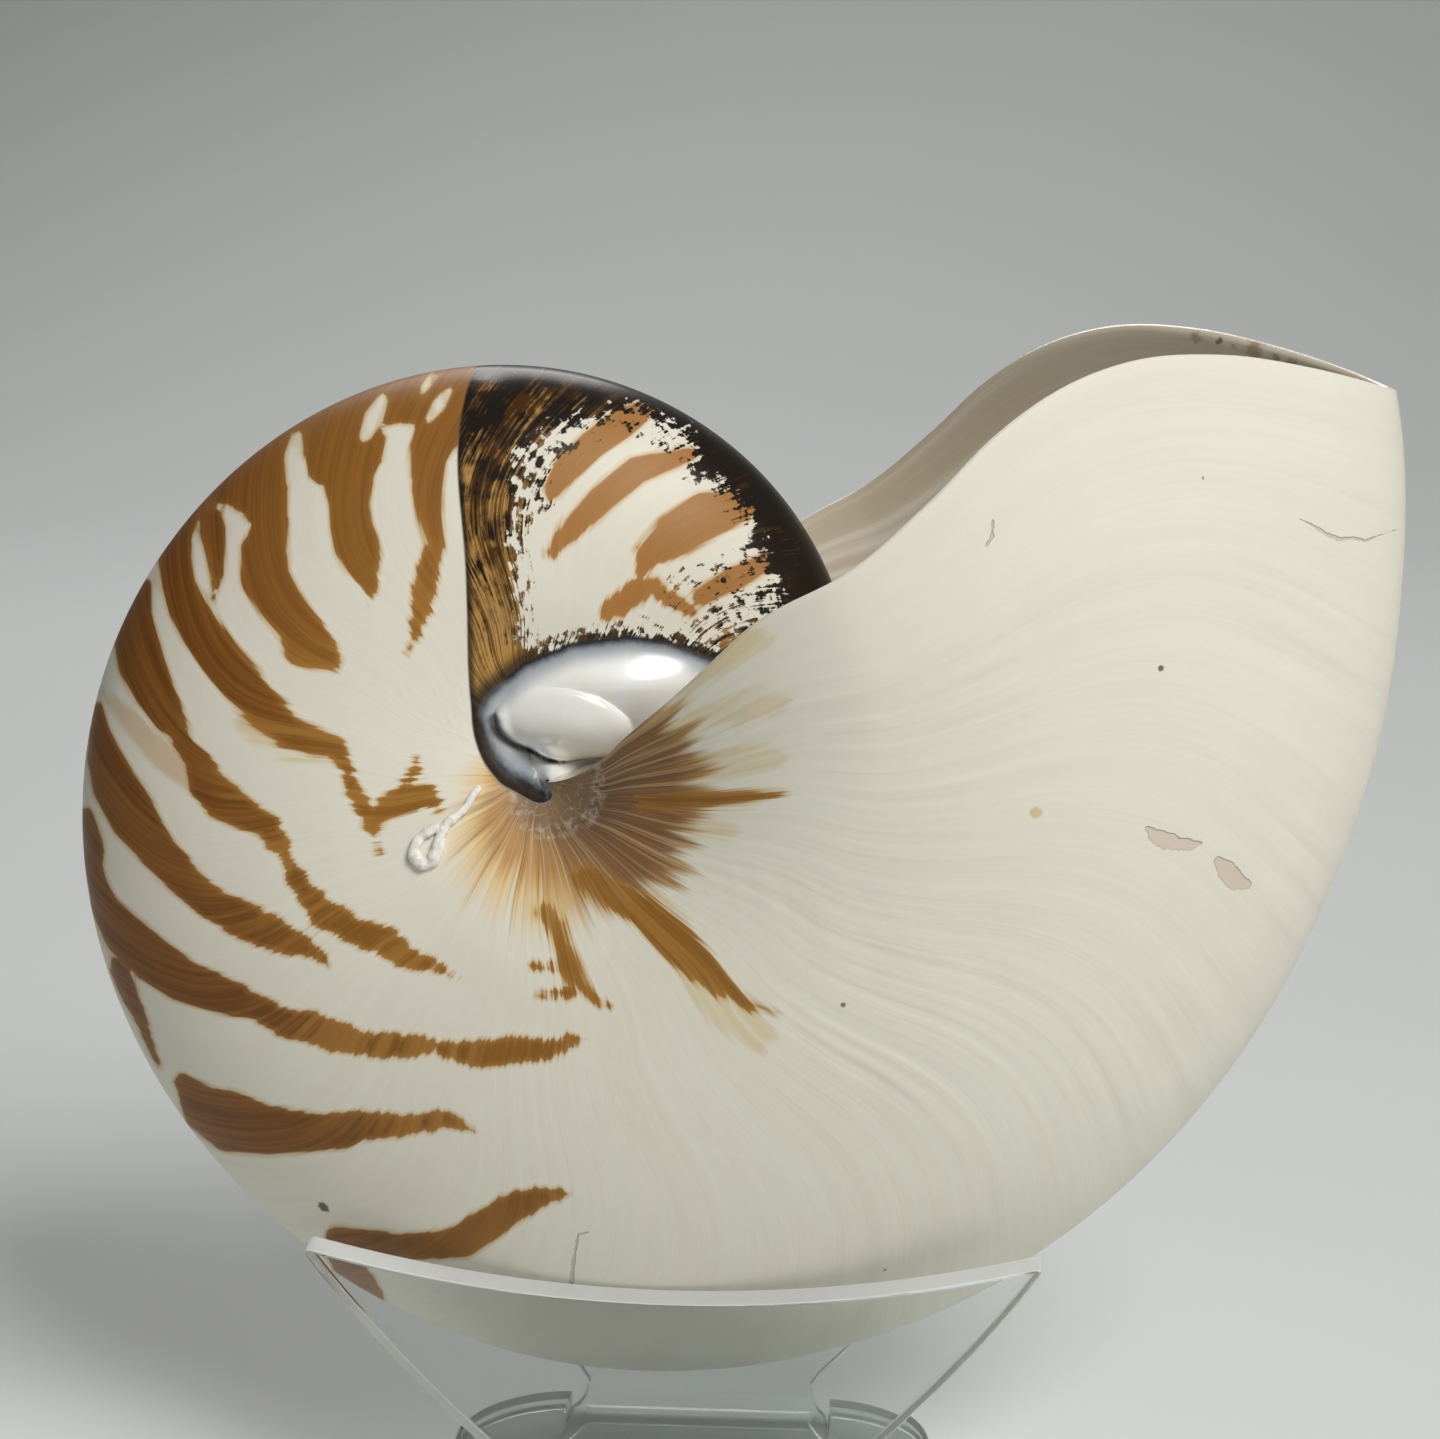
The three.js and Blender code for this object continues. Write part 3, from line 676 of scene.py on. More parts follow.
def shell_patches(side):
    """Grids of points with turn, share and zone for one side of the shell: film, outer whorl, rounded lip,
    chamber wall, floor of the older coil, fillets and the back of the chamber."""
    shares = whorl_shares()
    lip = through(LIP_LEAD, shares)
    start_shares = coil_shares(lip[0] - 360)
    patches = []

    def add(points, turn, share, zone):
        shape = points.shape[:2]
        fields = [np.broadcast_to(np.asarray(v, float), shape).copy() for v in (turn, share, zone)]
        patches.append((points, *fields))

    def closed(half, share):
        return np.where(share >= 1, 0.0, np.where(share <= 0, RIM_HALVES[0], half))

    # Film: from under the lip round to the rim
    t = np.linspace(0, 1, FILM_ROWS + 1)[:, None]
    film_share = (1 - t) * start_shares + t * shares
    film_turn = (1 - t) * (lip[0] - 360) + t * through(FILM_EDGE, shares)
    film_side = closed(film_half(film_turn, film_share), film_share)
    film_points = shell_point(film_turn, film_share * venter_radius(film_turn), film_side, side)

    # Outer whorl: from the rim to the lip
    t = np.linspace(0, 1, WHORL_ROWS + 1)[:, None]
    turn = (1 - t) * through(FILM_EDGE, shares) + t * lip
    share = np.broadcast_to(shares, turn.shape)
    outer_side = closed(outer_half(turn, share), share)
    outer_points = shell_point(turn, share * venter_radius(turn), outer_side, side)
    add(outer_points, turn, share, OUTER)
    film_points[-1] = outer_points[0]
    add(film_points, film_turn, film_share, FILM)

    # Chamber wall: from the lip back to the rear, columns from the chamber's inner edge outwards
    wall_shares = shares[AXIS_COLUMNS:]
    wall_lip = lip[AXIS_COLUMNS:]
    t = np.linspace(0, 1, CHAMBER_ROWS + 1)[:, None] ** CHAMBER_CROWDING
    turn = wall_lip + t * (CHAMBER_BACK - wall_lip)
    share = np.broadcast_to(wall_shares, turn.shape)
    radius, half = wall_offsets(turn, share)
    wall_points = shell_point(turn, radius, closed(half, share), side)
    add(wall_points, turn, share, CHAMBER)

    # Lip: half a round between the outer edge and the chamber wall
    outer_edge = outer_points[-1, AXIS_COLUMNS:]
    inner_edge = wall_points[0]
    ahead = outer_points[-1, AXIS_COLUMNS:] - outer_points[-2, AXIS_COLUMNS:]
    ahead = ahead / np.maximum(np.linalg.norm(ahead, axis=-1, keepdims=True), TINY)
    angle = np.linspace(0, np.pi, LIP_ROWS + 1)[:, None, None]
    reach = 0.5 * np.linalg.norm(inner_edge - outer_edge, axis=-1, keepdims=True)
    reach[:LIP_FADE, 0] *= ease(np.arange(LIP_FADE) / LIP_FADE)
    lip_points = (0.5 * (outer_edge + inner_edge) + 0.5 * np.cos(angle) * (outer_edge - inner_edge)
                  + np.sin(angle) * reach * ahead)
    lip_points[0] = outer_edge
    lip_points[-1] = inner_edge
    lip_points[:, -1, 1] = 0
    lip_zone = np.where(angle[:, :, 0] < LIP_OUTER_PART * np.pi, OUTER, CHAMBER)
    add(lip_points, wall_lip, wall_shares, lip_zone)

    # Floor of the chamber: the older coil from the lip back to the rear
    floor_turn = lip[0] - 360 + t * (CHAMBER_BACK - lip[0])
    floor_inner = CHAMBER_INNER_SHARE * venter_radius(floor_turn + 360) / venter_radius(floor_turn)
    floor_share = floor_inner + (1 - floor_inner) * cosine_steps(FLANK_COLUMNS)
    floor_half = closed(film_half(floor_turn, floor_share), floor_share)
    floor_points = shell_point(floor_turn, floor_share * venter_radius(floor_turn), floor_half, side)
    floor_points[0] = film_points[0, AXIS_COLUMNS:]
    add(floor_points, floor_turn, floor_share, FILM)

    # Fillets that close the slot between lip and older coil at the axis
    k = np.linspace(0, 1, FILL_ROWS + 1)[:, None, None]
    slot = (1 - k) * outer_points[-1, :AXIS_COLUMNS + 1] + k * film_points[0, :AXIS_COLUMNS + 1]
    add(slot, lip[0], shares[:AXIS_COLUMNS + 1], CHAMBER)
    inner = (1 - k) * wall_points[None, :, 0] + k * floor_points[None, :, 0]
    add(inner, turn[:, 0], CHAMBER_INNER_SHARE, CHAMBER)
    corner = (1 - k) * lip_points[None, :, 0] + k * film_points[0, AXIS_COLUMNS]
    add(corner, lip[0], CHAMBER_INNER_SHARE, CHAMBER)

    # Back of the chamber: a dish between the older coil and the outer wall
    k = np.linspace(0, 1, FILL_ROWS + 1)[:, None]
    back_radius = ((1 - k) * floor_share[-1] * venter_radius(floor_turn[-1])
                   + k * np.hypot(wall_points[-1, :, 0] - AXIS_X, wall_points[-1, :, 2] - AXIS_Z))
    column = np.linspace(0, 1, FLANK_COLUMNS + 1)
    dish = CHAMBER_DISH * np.sin(np.pi * k) * ease(column / 0.5)
    back_half = (1 - k) * np.abs(floor_points[-1, :, 1]) + k * np.abs(wall_points[-1, :, 1])
    back_points = shell_point(CHAMBER_BACK - dish, back_radius, back_half, side)
    back_points[0] = floor_points[-1]
    back_points[-1] = wall_points[-1]
    add(back_points, CHAMBER_BACK - dish, 0.5, CHAMBER)
    return patches


def flank_view(points, growth, side):
    """Pixels in which the marks are read. The far side is read as the near one's mirror image, bent by slow
    waves along the growth that fade towards the venter."""
    px, py, size = photo_pixels(points * np.array([1, -side, 1]))
    if side > 0:
        bend = FAR_BEND * ease(np.abs(points[:, 1]) / FAR_FADE)
        (rate_x, start_x), (rate_y, start_y) = FAR_WAVES
        px = px + bend * np.sin(rate_x * growth + start_x)
        py = py + bend * np.sin(rate_y * growth + start_y)
    return np.stack([px, py, size])


def shell_fields(points, turn, share, zone, side):
    """Surface values for the finish of one side: growth, signed distances to marks, reach of the fan."""
    x, z = flat_place(turn, share * venter_radius(turn))
    rim_gap, rim_along = path_distance(x, z, RIM_PATH)
    growth = growth_of(turn, share)
    outer = zone == OUTER
    film = zone == FILM
    view = flank_view(points, growth, side)

    def only(where, field, marks):
        values = np.full(len(turn), FAR_OFF)
        values[where] = field(view[:, where], marks)
        return values

    flame = np.minimum(only(outer, stroke_field, FLAMES), -only(outer, stroke_field, FLAME_GAPS))
    flame = np.maximum(flame, only(film, stroke_field, FILM_FLAMES))
    worn = only(film, patch_field, WORN_PATCH)
    worn = np.where(only(film, stroke_field, SPECKLED) > 0, np.minimum(worn, SPECKLED_DEPTH), worn)
    edge_gap, _ = path_distance(x, z, PEARL_EDGE)
    edge_x, edge_z = np.array(PEARL_EDGE, float).T
    pearl = np.where(z < np.interp(x, edge_x, edge_z), edge_gap, -edge_gap)
    along_rim = ease((rim_along - PEARL_RIM_START) / PEARL_RIM_FADE)
    margin_fades = 1 - ease((turn - PEARL_LIP_TURN) / PEARL_LIP_FADE) * along_rim
    pearl = np.minimum(pearl, rim_gap - PEARL_MARGIN + PEARL_LIP_GAIN * margin_fades)
    _, from_boss, up = boss_height(x, z)
    # distance that sets the painted shade along the crease under the boss
    crease_gap = np.abs(from_boss - 1) * BOSS_REACH_Z
    crease_gap += CREASE_TOP_LOSS * ease(up - CREASE_TOP_FROM)
    crease_gap += CREASE_RIGHT_LOSS * ease((x - BOSS_X - CREASE_RIGHT_FROM) / CREASE_RIGHT_SPAN)
    deep = (zone == CHAMBER) | (film & (turn < PEARL_DEEP_TURN))
    return {
        "growth": growth,
        "share": share,
        "stripe": flame,
        "wash": only(outer, stroke_field, WASHES),
        "film": np.where(film, rim_gap, np.where(outer, -rim_gap, FAR_OFF)),
        "worn": worn,
        "pearl": np.where(outer, -PEARL_MARGIN - rim_gap, np.where(deep, -FAR_OFF, pearl)),
        "crease": np.where(film, CREASE_SHADE_HALF - crease_gap, FAR_OFF),
        "gleam": only(film, stroke_field, PAINTED_HIGHLIGHT_STROKES),
        "fan": np.where(outer, 1 - np.hypot(x, z) / through(FAN_REACH, turn), FAR_OFF),
    }


def grid_faces(rows, columns, start):
    """Four-cornered faces of a grid of points that are numbered row by row from the start."""
    index = start + np.arange(rows * columns).reshape(rows, columns)
    return np.stack([index[:-1, :-1], index[:-1, 1:], index[1:, 1:], index[1:, :-1]], -1).reshape(-1, 4)


def weld(points, faces):
    """Joins points that coincide. Gives the rows kept and the faces, less corners that have vanished."""
    keys = np.round(points / WELD).astype(np.int64)
    _, kept, inverse = np.unique(keys, axis=0, return_index=True, return_inverse=True)
    faces = inverse.reshape(-1)[faces]
    same = faces == np.roll(faces, -1, axis=1)
    crossed = (faces[:, 0] == faces[:, 2]) | (faces[:, 1] == faces[:, 3])
    quads = faces[~same.any(1) & ~crossed]
    single = (same.sum(1) == 1) & ~crossed
    corners = (np.argmax(same[single], axis=1)[:, None] + np.array([1, 2, 3])) % 4
    return kept, quads.tolist() + np.take_along_axis(faces[single], corners, axis=1).tolist()


def make_piece(name, points, faces, fields=None, sharp=180.0):
    """Mesh object from points in millimetres, with surface values, outward faces and smooth shading.
    Edges that turn more than the sharp angle, in degrees, stay crisp."""
    mesh = bpy.data.meshes.new(name)
    mesh.from_pydata((points * MM).tolist(), [], faces)
    for key, values in (fields or {}).items():
        layer = mesh.attributes.new(key, "FLOAT", "POINT")
        layer.data.foreach_set("value", np.ascontiguousarray(values, dtype=np.float32))
    work = bmesh.new()
    work.from_mesh(mesh)
    bmesh.ops.recalc_face_normals(work, faces=work.faces)
    work.to_mesh(mesh)
    work.free()
    mesh.shade_smooth()
    mesh.set_sharp_from_angle(angle=np.radians(sharp))
    piece = bpy.data.objects.new(name, mesh)
    bpy.context.scene.collection.objects.link(piece)
    return piece


def make_shell():
    """The shell: both sides' grids, welded into one closed surface that carries its surface values."""
    points, faces, fields = [], [], {}
    start = 0
    for side in (-1, 1):
        patches = shell_patches(side)
        for grid, _, _, _ in patches:
            rows, columns = grid.shape[:2]
            faces.append(grid_faces(rows, columns, start))
            points.append(grid.reshape(-1, 3))
            start += rows * columns
        turn, share, zone = (np.concatenate([patch[k].ravel() for patch in patches]) for k in (1, 2, 3))
        side_points = np.concatenate([patch[0].reshape(-1, 3) for patch in patches])
        for key, values in shell_fields(side_points, turn, share, zone, side).items():
            fields.setdefault(key, []).append(values)
    points = np.concatenate(points)
    kept, corners = weld(points, np.concatenate(faces))
    values = {key: np.concatenate(parts)[kept] for key, parts in fields.items()}
    return make_piece("shell_on_show", points[kept], corners, values, SHELL_CRISP)


def make_worm_tube():
    """White tube on the flank: a round of varying radius carried along a smooth path on the surface."""
    control = np.array(WORM_TUBE, float)
    places = flank_hit(control[:, :2])
    count = np.arange(len(control))
    t = np.linspace(0, len(control) - 1, TUBE_STEPS * (len(control) - 1) + 1)
    path = np.stack([through(list(zip(count, places[:, k])), t) for k in range(3)], -1)
    swells = sum((high * np.sin(rate * t) for high, rate in TUBE_SWELLS), 1)
    radius = through(list(zip(count, control[:, 2])), t) * swells
    radius[[0, -1]] = 0
    along = np.gradient(path, axis=0)
    along /= np.linalg.norm(along, axis=1, keepdims=True)
    across = np.cross(along, np.array([0.0, -1.0, 0.0]))
    across /= np.linalg.norm(across, axis=1, keepdims=True)
    outward = np.cross(across, along)
    angle = np.linspace(0, 2 * np.pi, TUBE_SIDES + 1)[None, :, None]
    centre = path + outward * (TUBE_STAND_OFF * radius)[:, None]
    ring = (centre[:, None] + radius[:, None, None]
            * (np.cos(angle) * outward[:, None] * TUBE_FLAT + np.sin(angle) * across[:, None]))
    ring[:, -1] = ring[:, 0]
    points = ring.reshape(-1, 3)
    kept, faces = weld(points, grid_faces(*ring.shape[:2], 0))
    return make_piece("worm_tube", points[kept], faces)


def pulled_curve(start, pull, end, count=CURVE_STEPS):
    """Curve drawn towards a point: means of start, pull and end with weights (1-t)^2, 2t(1-t) and t^2."""
    t = np.linspace(0, 1, count + 1)[:, None]
    return (1 - t)**2 * np.array(start) + 2 * t * (1 - t) * np.array(pull) + t**2 * np.array(end)


def arm_outline():
    """Right half of an arm's outline from the waist to the middle of the top, across and up the sheet."""
    side_end = (ARM_CORNER_HALF - CORNER_SIDE_IN * ARM_CORNER_RADIUS, ARM_CORNER_Z - ARM_CORNER_RADIUS)
    top_x = ARM_CORNER_HALF - CORNER_TOP_IN * ARM_CORNER_RADIUS
    top_z = ARM_CORNER_Z - CORNER_TOP_DOWN * ARM_CORNER_RADIUS
    side = pulled_curve((WAIST_HALF, WAIST_Z), SIDE_PULL, side_end)
    corner = pulled_curve(side_end, (ARM_CORNER_HALF, ARM_CORNER_Z), (top_x, top_z), CORNER_STEPS)
    top = pulled_curve((top_x, top_z), (0, 2 * ARM_TOP_Z - top_z), (-top_x, top_z), 2 * CURVE_STEPS)
    return np.concatenate([side, corner[1:], top[1:CURVE_STEPS + 1]])


def base_corner():
    """One ear of the base, from the neck round its corner to the middle of the end, seen from above."""
    angle = np.linspace(np.pi / 2, 0, CURVE_STEPS + 1)
    round_x = BASE_HALF_X - BASE_CORNER + BASE_CORNER * np.cos(angle)
    round_y = BASE_HALF_Y - BASE_CORNER + BASE_CORNER * np.sin(angle)
    keep = round_x > ROOT_HALF + NECK_GAP
    neck_x = ROOT_HALF - BASE_HALF_X + BASE_CORNER
    neck_y = BASE_HALF_Y - BASE_CORNER + np.sqrt(BASE_CORNER**2 - neck_x**2)
    return np.concatenate([[(ROOT_HALF, neck_y)], np.stack([round_x, round_y], -1)[keep]])


def bend_sections(bend_y):
    """Rows of the bend, from the base up to the arm: a round about the bend line, inner and outer face.
    Gives distance from the middle and height of both faces, and the half-width of the row."""
    angle = np.radians(90 - ARM_LEAN) * np.linspace(0, 1, BEND_STEPS + 1)
    radius = np.array([BEND_INNER, BEND_INNER + SHEET])[:, None]
    out = bend_y + radius * np.sin(angle)
    high = SHEET + BEND_INNER - radius * np.cos(angle)
    fillet = pulled_curve((ROOT_HALF, SHEET), (WAIST_HALF, ROOT_FILLET_Z), (WAIST_HALF, WAIST_Z))
    return out, high, np.interp(high, fillet[:, 1], fillet[:, 0])


def make_stand():
    """The stand: one sheet, bent up at both sides. Faces and cut edges are built from its outline.
    Faces of the cut edges carry the second material."""
    lean = np.radians(ARM_LEAN)
    bend_z = SHEET + BEND_INNER
    bend_y = ARM_TOP_Y - (ARM_TOP_Z - bend_z) * np.tan(lean) - BEND_INNER / np.cos(lean)
    out, high, half = bend_sections(bend_y)
    outline = arm_outline()
    outline[0, 1] = ARM_TOP_Z + (high[0, -1] - ARM_TOP_Z) / np.cos(lean)
    full = np.concatenate([outline, (outline * [-1, 1])[-2::-1]])

    def arm_face(depth):
        up = full[:, 1] - ARM_TOP_Z
        return np.stack([full[:, 0], ARM_TOP_Y + up * np.sin(lean) + depth * np.cos(lean),
                         ARM_TOP_Z + up * np.cos(lean) - depth * np.sin(lean)], -1)

    # Closed line of the sheet's edge, half of it: up the bend and round the arm, then down and round an ear
    def edge_line(face, depth):
        rise = np.stack([half[0, :-1], out[face, :-1], high[face, :-1]], -1)
        fall = (rise * [-1, 1, 1])[::-1]
        ear = base_corner()
        ear_level = np.full(len(ear), SHEET - depth)
        ear_line = np.column_stack([-ear[:, 0], ear[:, 1], ear_level])
        other = (ear_line * [1, -1, 1])[::-1]
        return np.concatenate([rise, arm_face(depth), fall, ear_line, other])

    turn_round = np.array([-1, -1, 1])
    lines = [edge_line(0, 0.0), edge_line(1, SHEET)]
    points = np.concatenate([part for line in lines for part in (line, line * turn_round)])
    step = len(lines[0])
    count = 2 * step
    ring = np.arange(count)
    walls = np.stack([ring, np.roll(ring, -1), np.roll(ring, -1) + count, ring + count], -1).tolist()

    # Broad faces on both sides of the sheet: base, and for each arm the bend's strips and the arm itself
    rows = len(out[0]) - 1
    arm_count = len(full)
    faces = []
    for first in (0, count):
        ears = []
        for begin in (0, step):
            right = first + begin + np.arange(rows + 1)
            left = first + begin + 2 * rows + arm_count - 1 - np.arange(rows + 1)
            strips = np.stack([right[:-1], right[1:], left[1:], left[:-1]], -1).tolist()
            arm = first + begin + rows + np.arange(arm_count)
            faces += strips + [arm.tolist()]
            ears += [int(right[0])] + (first + begin + np.arange(2 * rows + arm_count - 1, step)).tolist()
        faces.append(ears)
    piece = make_piece("clear_stand", points, faces + walls, sharp=STAND_CRISP)
    cut = np.zeros(len(piece.data.polygons), dtype=np.int32)
    cut[len(faces):] = 1
    piece.data.polygons.foreach_set("material_index", cut)
    rounding = piece.modifiers.new("rounding", "BEVEL")
    rounding.width = EDGE_ROUND * MM
    rounding.segments = EDGE_SEGMENTS
    rounding.limit_method = "ANGLE"
    rounding.angle_limit = np.radians(EDGE_TURN)
    piece.modifiers.new("even", "WEIGHTED_NORMAL").keep_sharp = True
    return piece


class Wiring:
    """Makes nodes in one tree and joins them. Each short method gives back an output."""

    def __init__(self, tree):
        self.tree = tree

    def join(self, made, inputs):
        """Sets inputs of a node, or joins them where the value is an output of another node."""
        for key, value in inputs.items():
            if isinstance(value, bpy.types.NodeSocket):
                self.tree.links.new(value, made.inputs[key])
            elif isinstance(value, tuple) and made.inputs[key].type == "RGBA":
                made.inputs[key].default_value = (*value, 1.0)
            else:
                made.inputs[key].default_value = value

    def node(self, kind, inputs, **settings):
        """A node with its settings and inputs."""
        made = self.tree.nodes.new(kind)
        for key, value in settings.items():
            setattr(made, key, value)
        self.join(made, inputs)
        return made

    def effect(self, name, inputs):
        """One of the shared effects."""
        return self.node("ShaderNodeGroup", inputs, node_tree=bpy.data.node_groups[name]).outputs[0]

    def maths(self, operation, *values):
        return self.node("ShaderNodeMath", dict(enumerate(values)), operation=operation).outputs[0]

    def vectors(self, operation, first, second):
        """Outputs of a vector sum: the vector and the number."""
        return self.node("ShaderNodeVectorMath", {0: first, 1: second}, operation=operation).outputs

    def scaled(self, vector, size):
        return self.node("ShaderNodeVectorMath", {0: vector, "Scale": size}, operation="SCALE").outputs[0]

    def times(self, first, second):
        return self.maths("MULTIPLY", first, second)

    def plus(self, first, second):
        return self.maths("ADD", first, second)

    def minus(self, first, second):
        return self.maths("SUBTRACT", first, second)

    def centred(self, value, size):
        """A noise moved to the middle of 0, times a size."""
        return self.times(self.minus(value, 0.5), size)

    def step(self, value, low, high):
        """Soft step from 0 at the low end to 1 at the high end; it falls if the ends are swapped."""
        return self.node("ShaderNodeMapRange", {"Value": value, "From Min": low, "From Max": high},
                         interpolation_type="SMOOTHSTEP").outputs[0]

    def mix(self, amount, first, second):
        """Mix of two colours."""
        return self.node("ShaderNodeMix", {0: amount, 6: first, 7: second}, data_type="RGBA").outputs[2]

    def between(self, amount, first, second):
        """Mix of two numbers."""
        return self.node("ShaderNodeMix", {0: amount, 2: first, 3: second}).outputs[0]

    def value(self, name):
        """A surface value of the mesh."""
        return self.node("ShaderNodeAttribute", {}, attribute_name=name).outputs["Fac"]

    def spot(self):
        """Place in metres."""
        return self.node("ShaderNodeTexCoord", {}).outputs["Object"]

    def place(self):
        """Place in millimetres."""
        return self.scaled(self.spot(), 1 / MM)

    def noise(self, place, scale, detail=3.0, roughness=0.55):
        inputs = {"Vector": place, "Scale": scale, "Detail": detail, "Roughness": roughness}
        return self.node("ShaderNodeTexNoise", inputs).outputs[0]

    def streaks(self, often, stretch, detail=4.0):
        """Streaks along old lip lines."""
        return self.effect("growth_streaks", {"Often": often, "Stretch": stretch, "Detail": detail})

    def grain(self, size, contrast=1.0):
        """Fine uneven grain of a size in millimetres, about the middle of 0.5."""
        return self.effect("fine_grain", {"Size": size, "Contrast": contrast})

    def marks(self, strokes):
        """Signed distance in millimetres to strokes on the near flank, positive inside, piece by piece."""
        field = FAR_OFF
        for stroke in strokes:
            path = np.array(stroke, float)
            places = flank_hit(path[:, :2])
            halves = path[:, 2] * photo_pixels(places)[2]
            for start, end, near, far in zip(places[:-1], places[1:], halves[:-1], halves[1:]):
                inputs = {"Start": tuple(start), "Along": tuple(end - start), "Near": near, "Far": far}
                field = self.maths("MAXIMUM", field, self.effect("line_gap", inputs))
        return field

    def bump(self, height):
        """Normal of a relief whose height is in millimetres."""
        inputs = {"Height": height, "Distance": MM, "Strength": RELIEF_STRENGTH}
        return self.node("ShaderNodeBump", inputs).outputs[0]


def new_group(name, inputs):
    """Empty node group with number or vector inputs and one number output.
    Gives its wiring, its inputs and its end."""
    group = bpy.data.node_groups.new(name, "ShaderNodeTree")
    for key, default in inputs.items():
        kind = "NodeSocketVector" if isinstance(default, tuple) else "NodeSocketFloat"
        group.interface.new_socket(key, in_out="INPUT", socket_type=kind).default_value = default
    group.interface.new_socket("Value", in_out="OUTPUT", socket_type="NodeSocketFloat")
    given = group.nodes.new("NodeGroupInput").outputs
    end = group.nodes.new("NodeGroupOutput").inputs[0]
    return Wiring(group), given, end


def make_groups():
    """Shared effects: streaks along growth lines, fine grain, and signed distance to one straight piece."""
    w, given, end = new_group("growth_streaks", {"Often": 1.0, "Stretch": 2.0, "Detail": 4.0})
    along = w.times(w.value("growth"), given["Often"])
    outward = w.times(w.value("share"), given["Stretch"])
    sideways = w.times(w.node("ShaderNodeSeparateXYZ", {0: w.spot()}).outputs[1], STREAK_SIDE)
    lines = w.node("ShaderNodeCombineXYZ", {0: along, 1: outward, 2: sideways}).outputs[0]
    w.tree.links.new(w.noise(lines, 1.0, given["Detail"], 0.6), end)

    w, given, end = new_group("fine_grain", {"Size": 1.0, "Contrast": 1.0})
    rough = w.noise(w.place(), w.maths("DIVIDE", 1.0, given["Size"]), 4.0, 0.6)
    w.tree.links.new(w.plus(w.centred(rough, given["Contrast"]), 0.5), end)

    w, given, end = new_group("line_gap", {"Start": (0, 0, 0), "Along": (1, 0, 0), "Near": 1.0, "Far": 1.0})
    from_start = w.vectors("SUBTRACT", w.place(), given["Start"])[0]
    reach = w.vectors("DOT_PRODUCT", given["Along"], given["Along"])[1]
    reached = w.maths("DIVIDE", w.vectors("DOT_PRODUCT", from_start, given["Along"])[1], reach)
    reached = w.maths("MINIMUM", w.maths("MAXIMUM", reached, 0.0), 1.0)
    gap = w.vectors("DISTANCE", from_start, w.scaled(given["Along"], reached))[1]
    w.tree.links.new(w.minus(w.between(reached, given["Near"], given["Far"]), gap), end)


def new_material(name):
    """Material with its main shader; gives the material, the wiring and the shader."""
    material = bpy.data.materials.new(name)
    material.use_nodes = True
    return material, Wiring(material.node_tree), material.node_tree.nodes["Principled BSDF"]


def shell_values(w):
    """Surface values and noises that the layers of the shell's finish share."""
    names = ("growth", "share", "stripe", "wash", "film", "worn", "pearl", "crease", "gleam", "fan")
    s = SimpleNamespace(**{name: w.value(name) for name in names})
    s.grain = w.grain(0.9)
    s.cloud = w.grain(14.0)
    s.broad = w.streaks(0.45, 0.6)
    s.fine = w.streaks(3.2, 3.0)
    s.outward = w.step(s.share, 0.55, 0.75)
    return s


def cream_layer(w, s):
    """Cream ground with warm and rosy clouds and thin growth lines."""
    colour = w.mix(w.step(w.plus(s.broad, w.times(s.cloud, 0.3)), 0.5, 0.85), CREAM, CREAM_WARM)
    colour = w.mix(w.times(w.step(w.grain(38.0), 0.44, 0.62), 0.35), colour, CREAM_ROSE)
    return w.mix(w.times(w.step(s.fine, 0.48, 0.76), 0.12), colour, CREAM_LINE)


def flame_layer(w, s, colour):
    """Thin washes, then flames. Their edges have teeth along old lip lines, longer towards the axis.
    Gives the colour and the mask of the flames."""
    teeth = w.plus(w.times(w.streaks(0.28, 1.6, 3.0), 0.68), w.times(w.streaks(0.9, 1.2, 2.0), 0.32))
    tooth = w.centred(teeth, w.times(w.minus(1.12, s.share), 6.2))
    wash_mask = w.step(w.plus(s.wash, w.times(tooth, 1.6)), -0.3, 1.0)
    wash_depth = w.between(s.outward, w.times(w.step(s.broad, 0.25, 0.6), 0.45), 0.62)
    colour = w.mix(w.times(wash_mask, wash_depth), colour, w.mix(s.outward, WASH, WASH_TAN))

    toothed = w.plus(s.stripe, tooth)
    streaky = w.times(w.step(w.streaks(1.5, 2.0), 0.36, 0.66), w.between(s.outward, 1.0, 0.7))
    brown = w.mix(streaky, FLAME_DARK, FLAME)
    brown = w.mix(w.times(w.step(s.share, 0.75, 0.3), 0.7), brown, FLAME_GOLD)
    light = w.times(w.step(w.streaks(0.24, 0.9, 3.0), 0.50, 0.60), w.between(s.outward, 0.60, 0.12))
    newest = w.times(w.times(w.step(s.growth, -150.0, -126.0), s.outward), 0.6)
    oldest = w.times(w.step(s.growth, -236.0, -262.0), 0.3)
    light = w.maths("MAXIMUM", w.maths("MAXIMUM", light, newest), oldest)
    brown = w.mix(light, brown, FLAME_LIGHT)
    edge = w.times(w.step(toothed, 0.9, 0.1), w.between(s.outward, 0.6, 0.25))
    brown = w.mix(edge, brown, FLAME_LIGHT)
    brown = w.mix(w.times(w.step(s.film, 0.0, 0.5), 0.65), brown, FLAME_WORN)
    colour = w.mix(w.times(w.step(toothed, -0.6, 0.05), 0.6), colour, FLAME_EDGE)
    mask = w.step(toothed, -0.1, 0.2)
    return w.mix(mask, colour, brown), mask


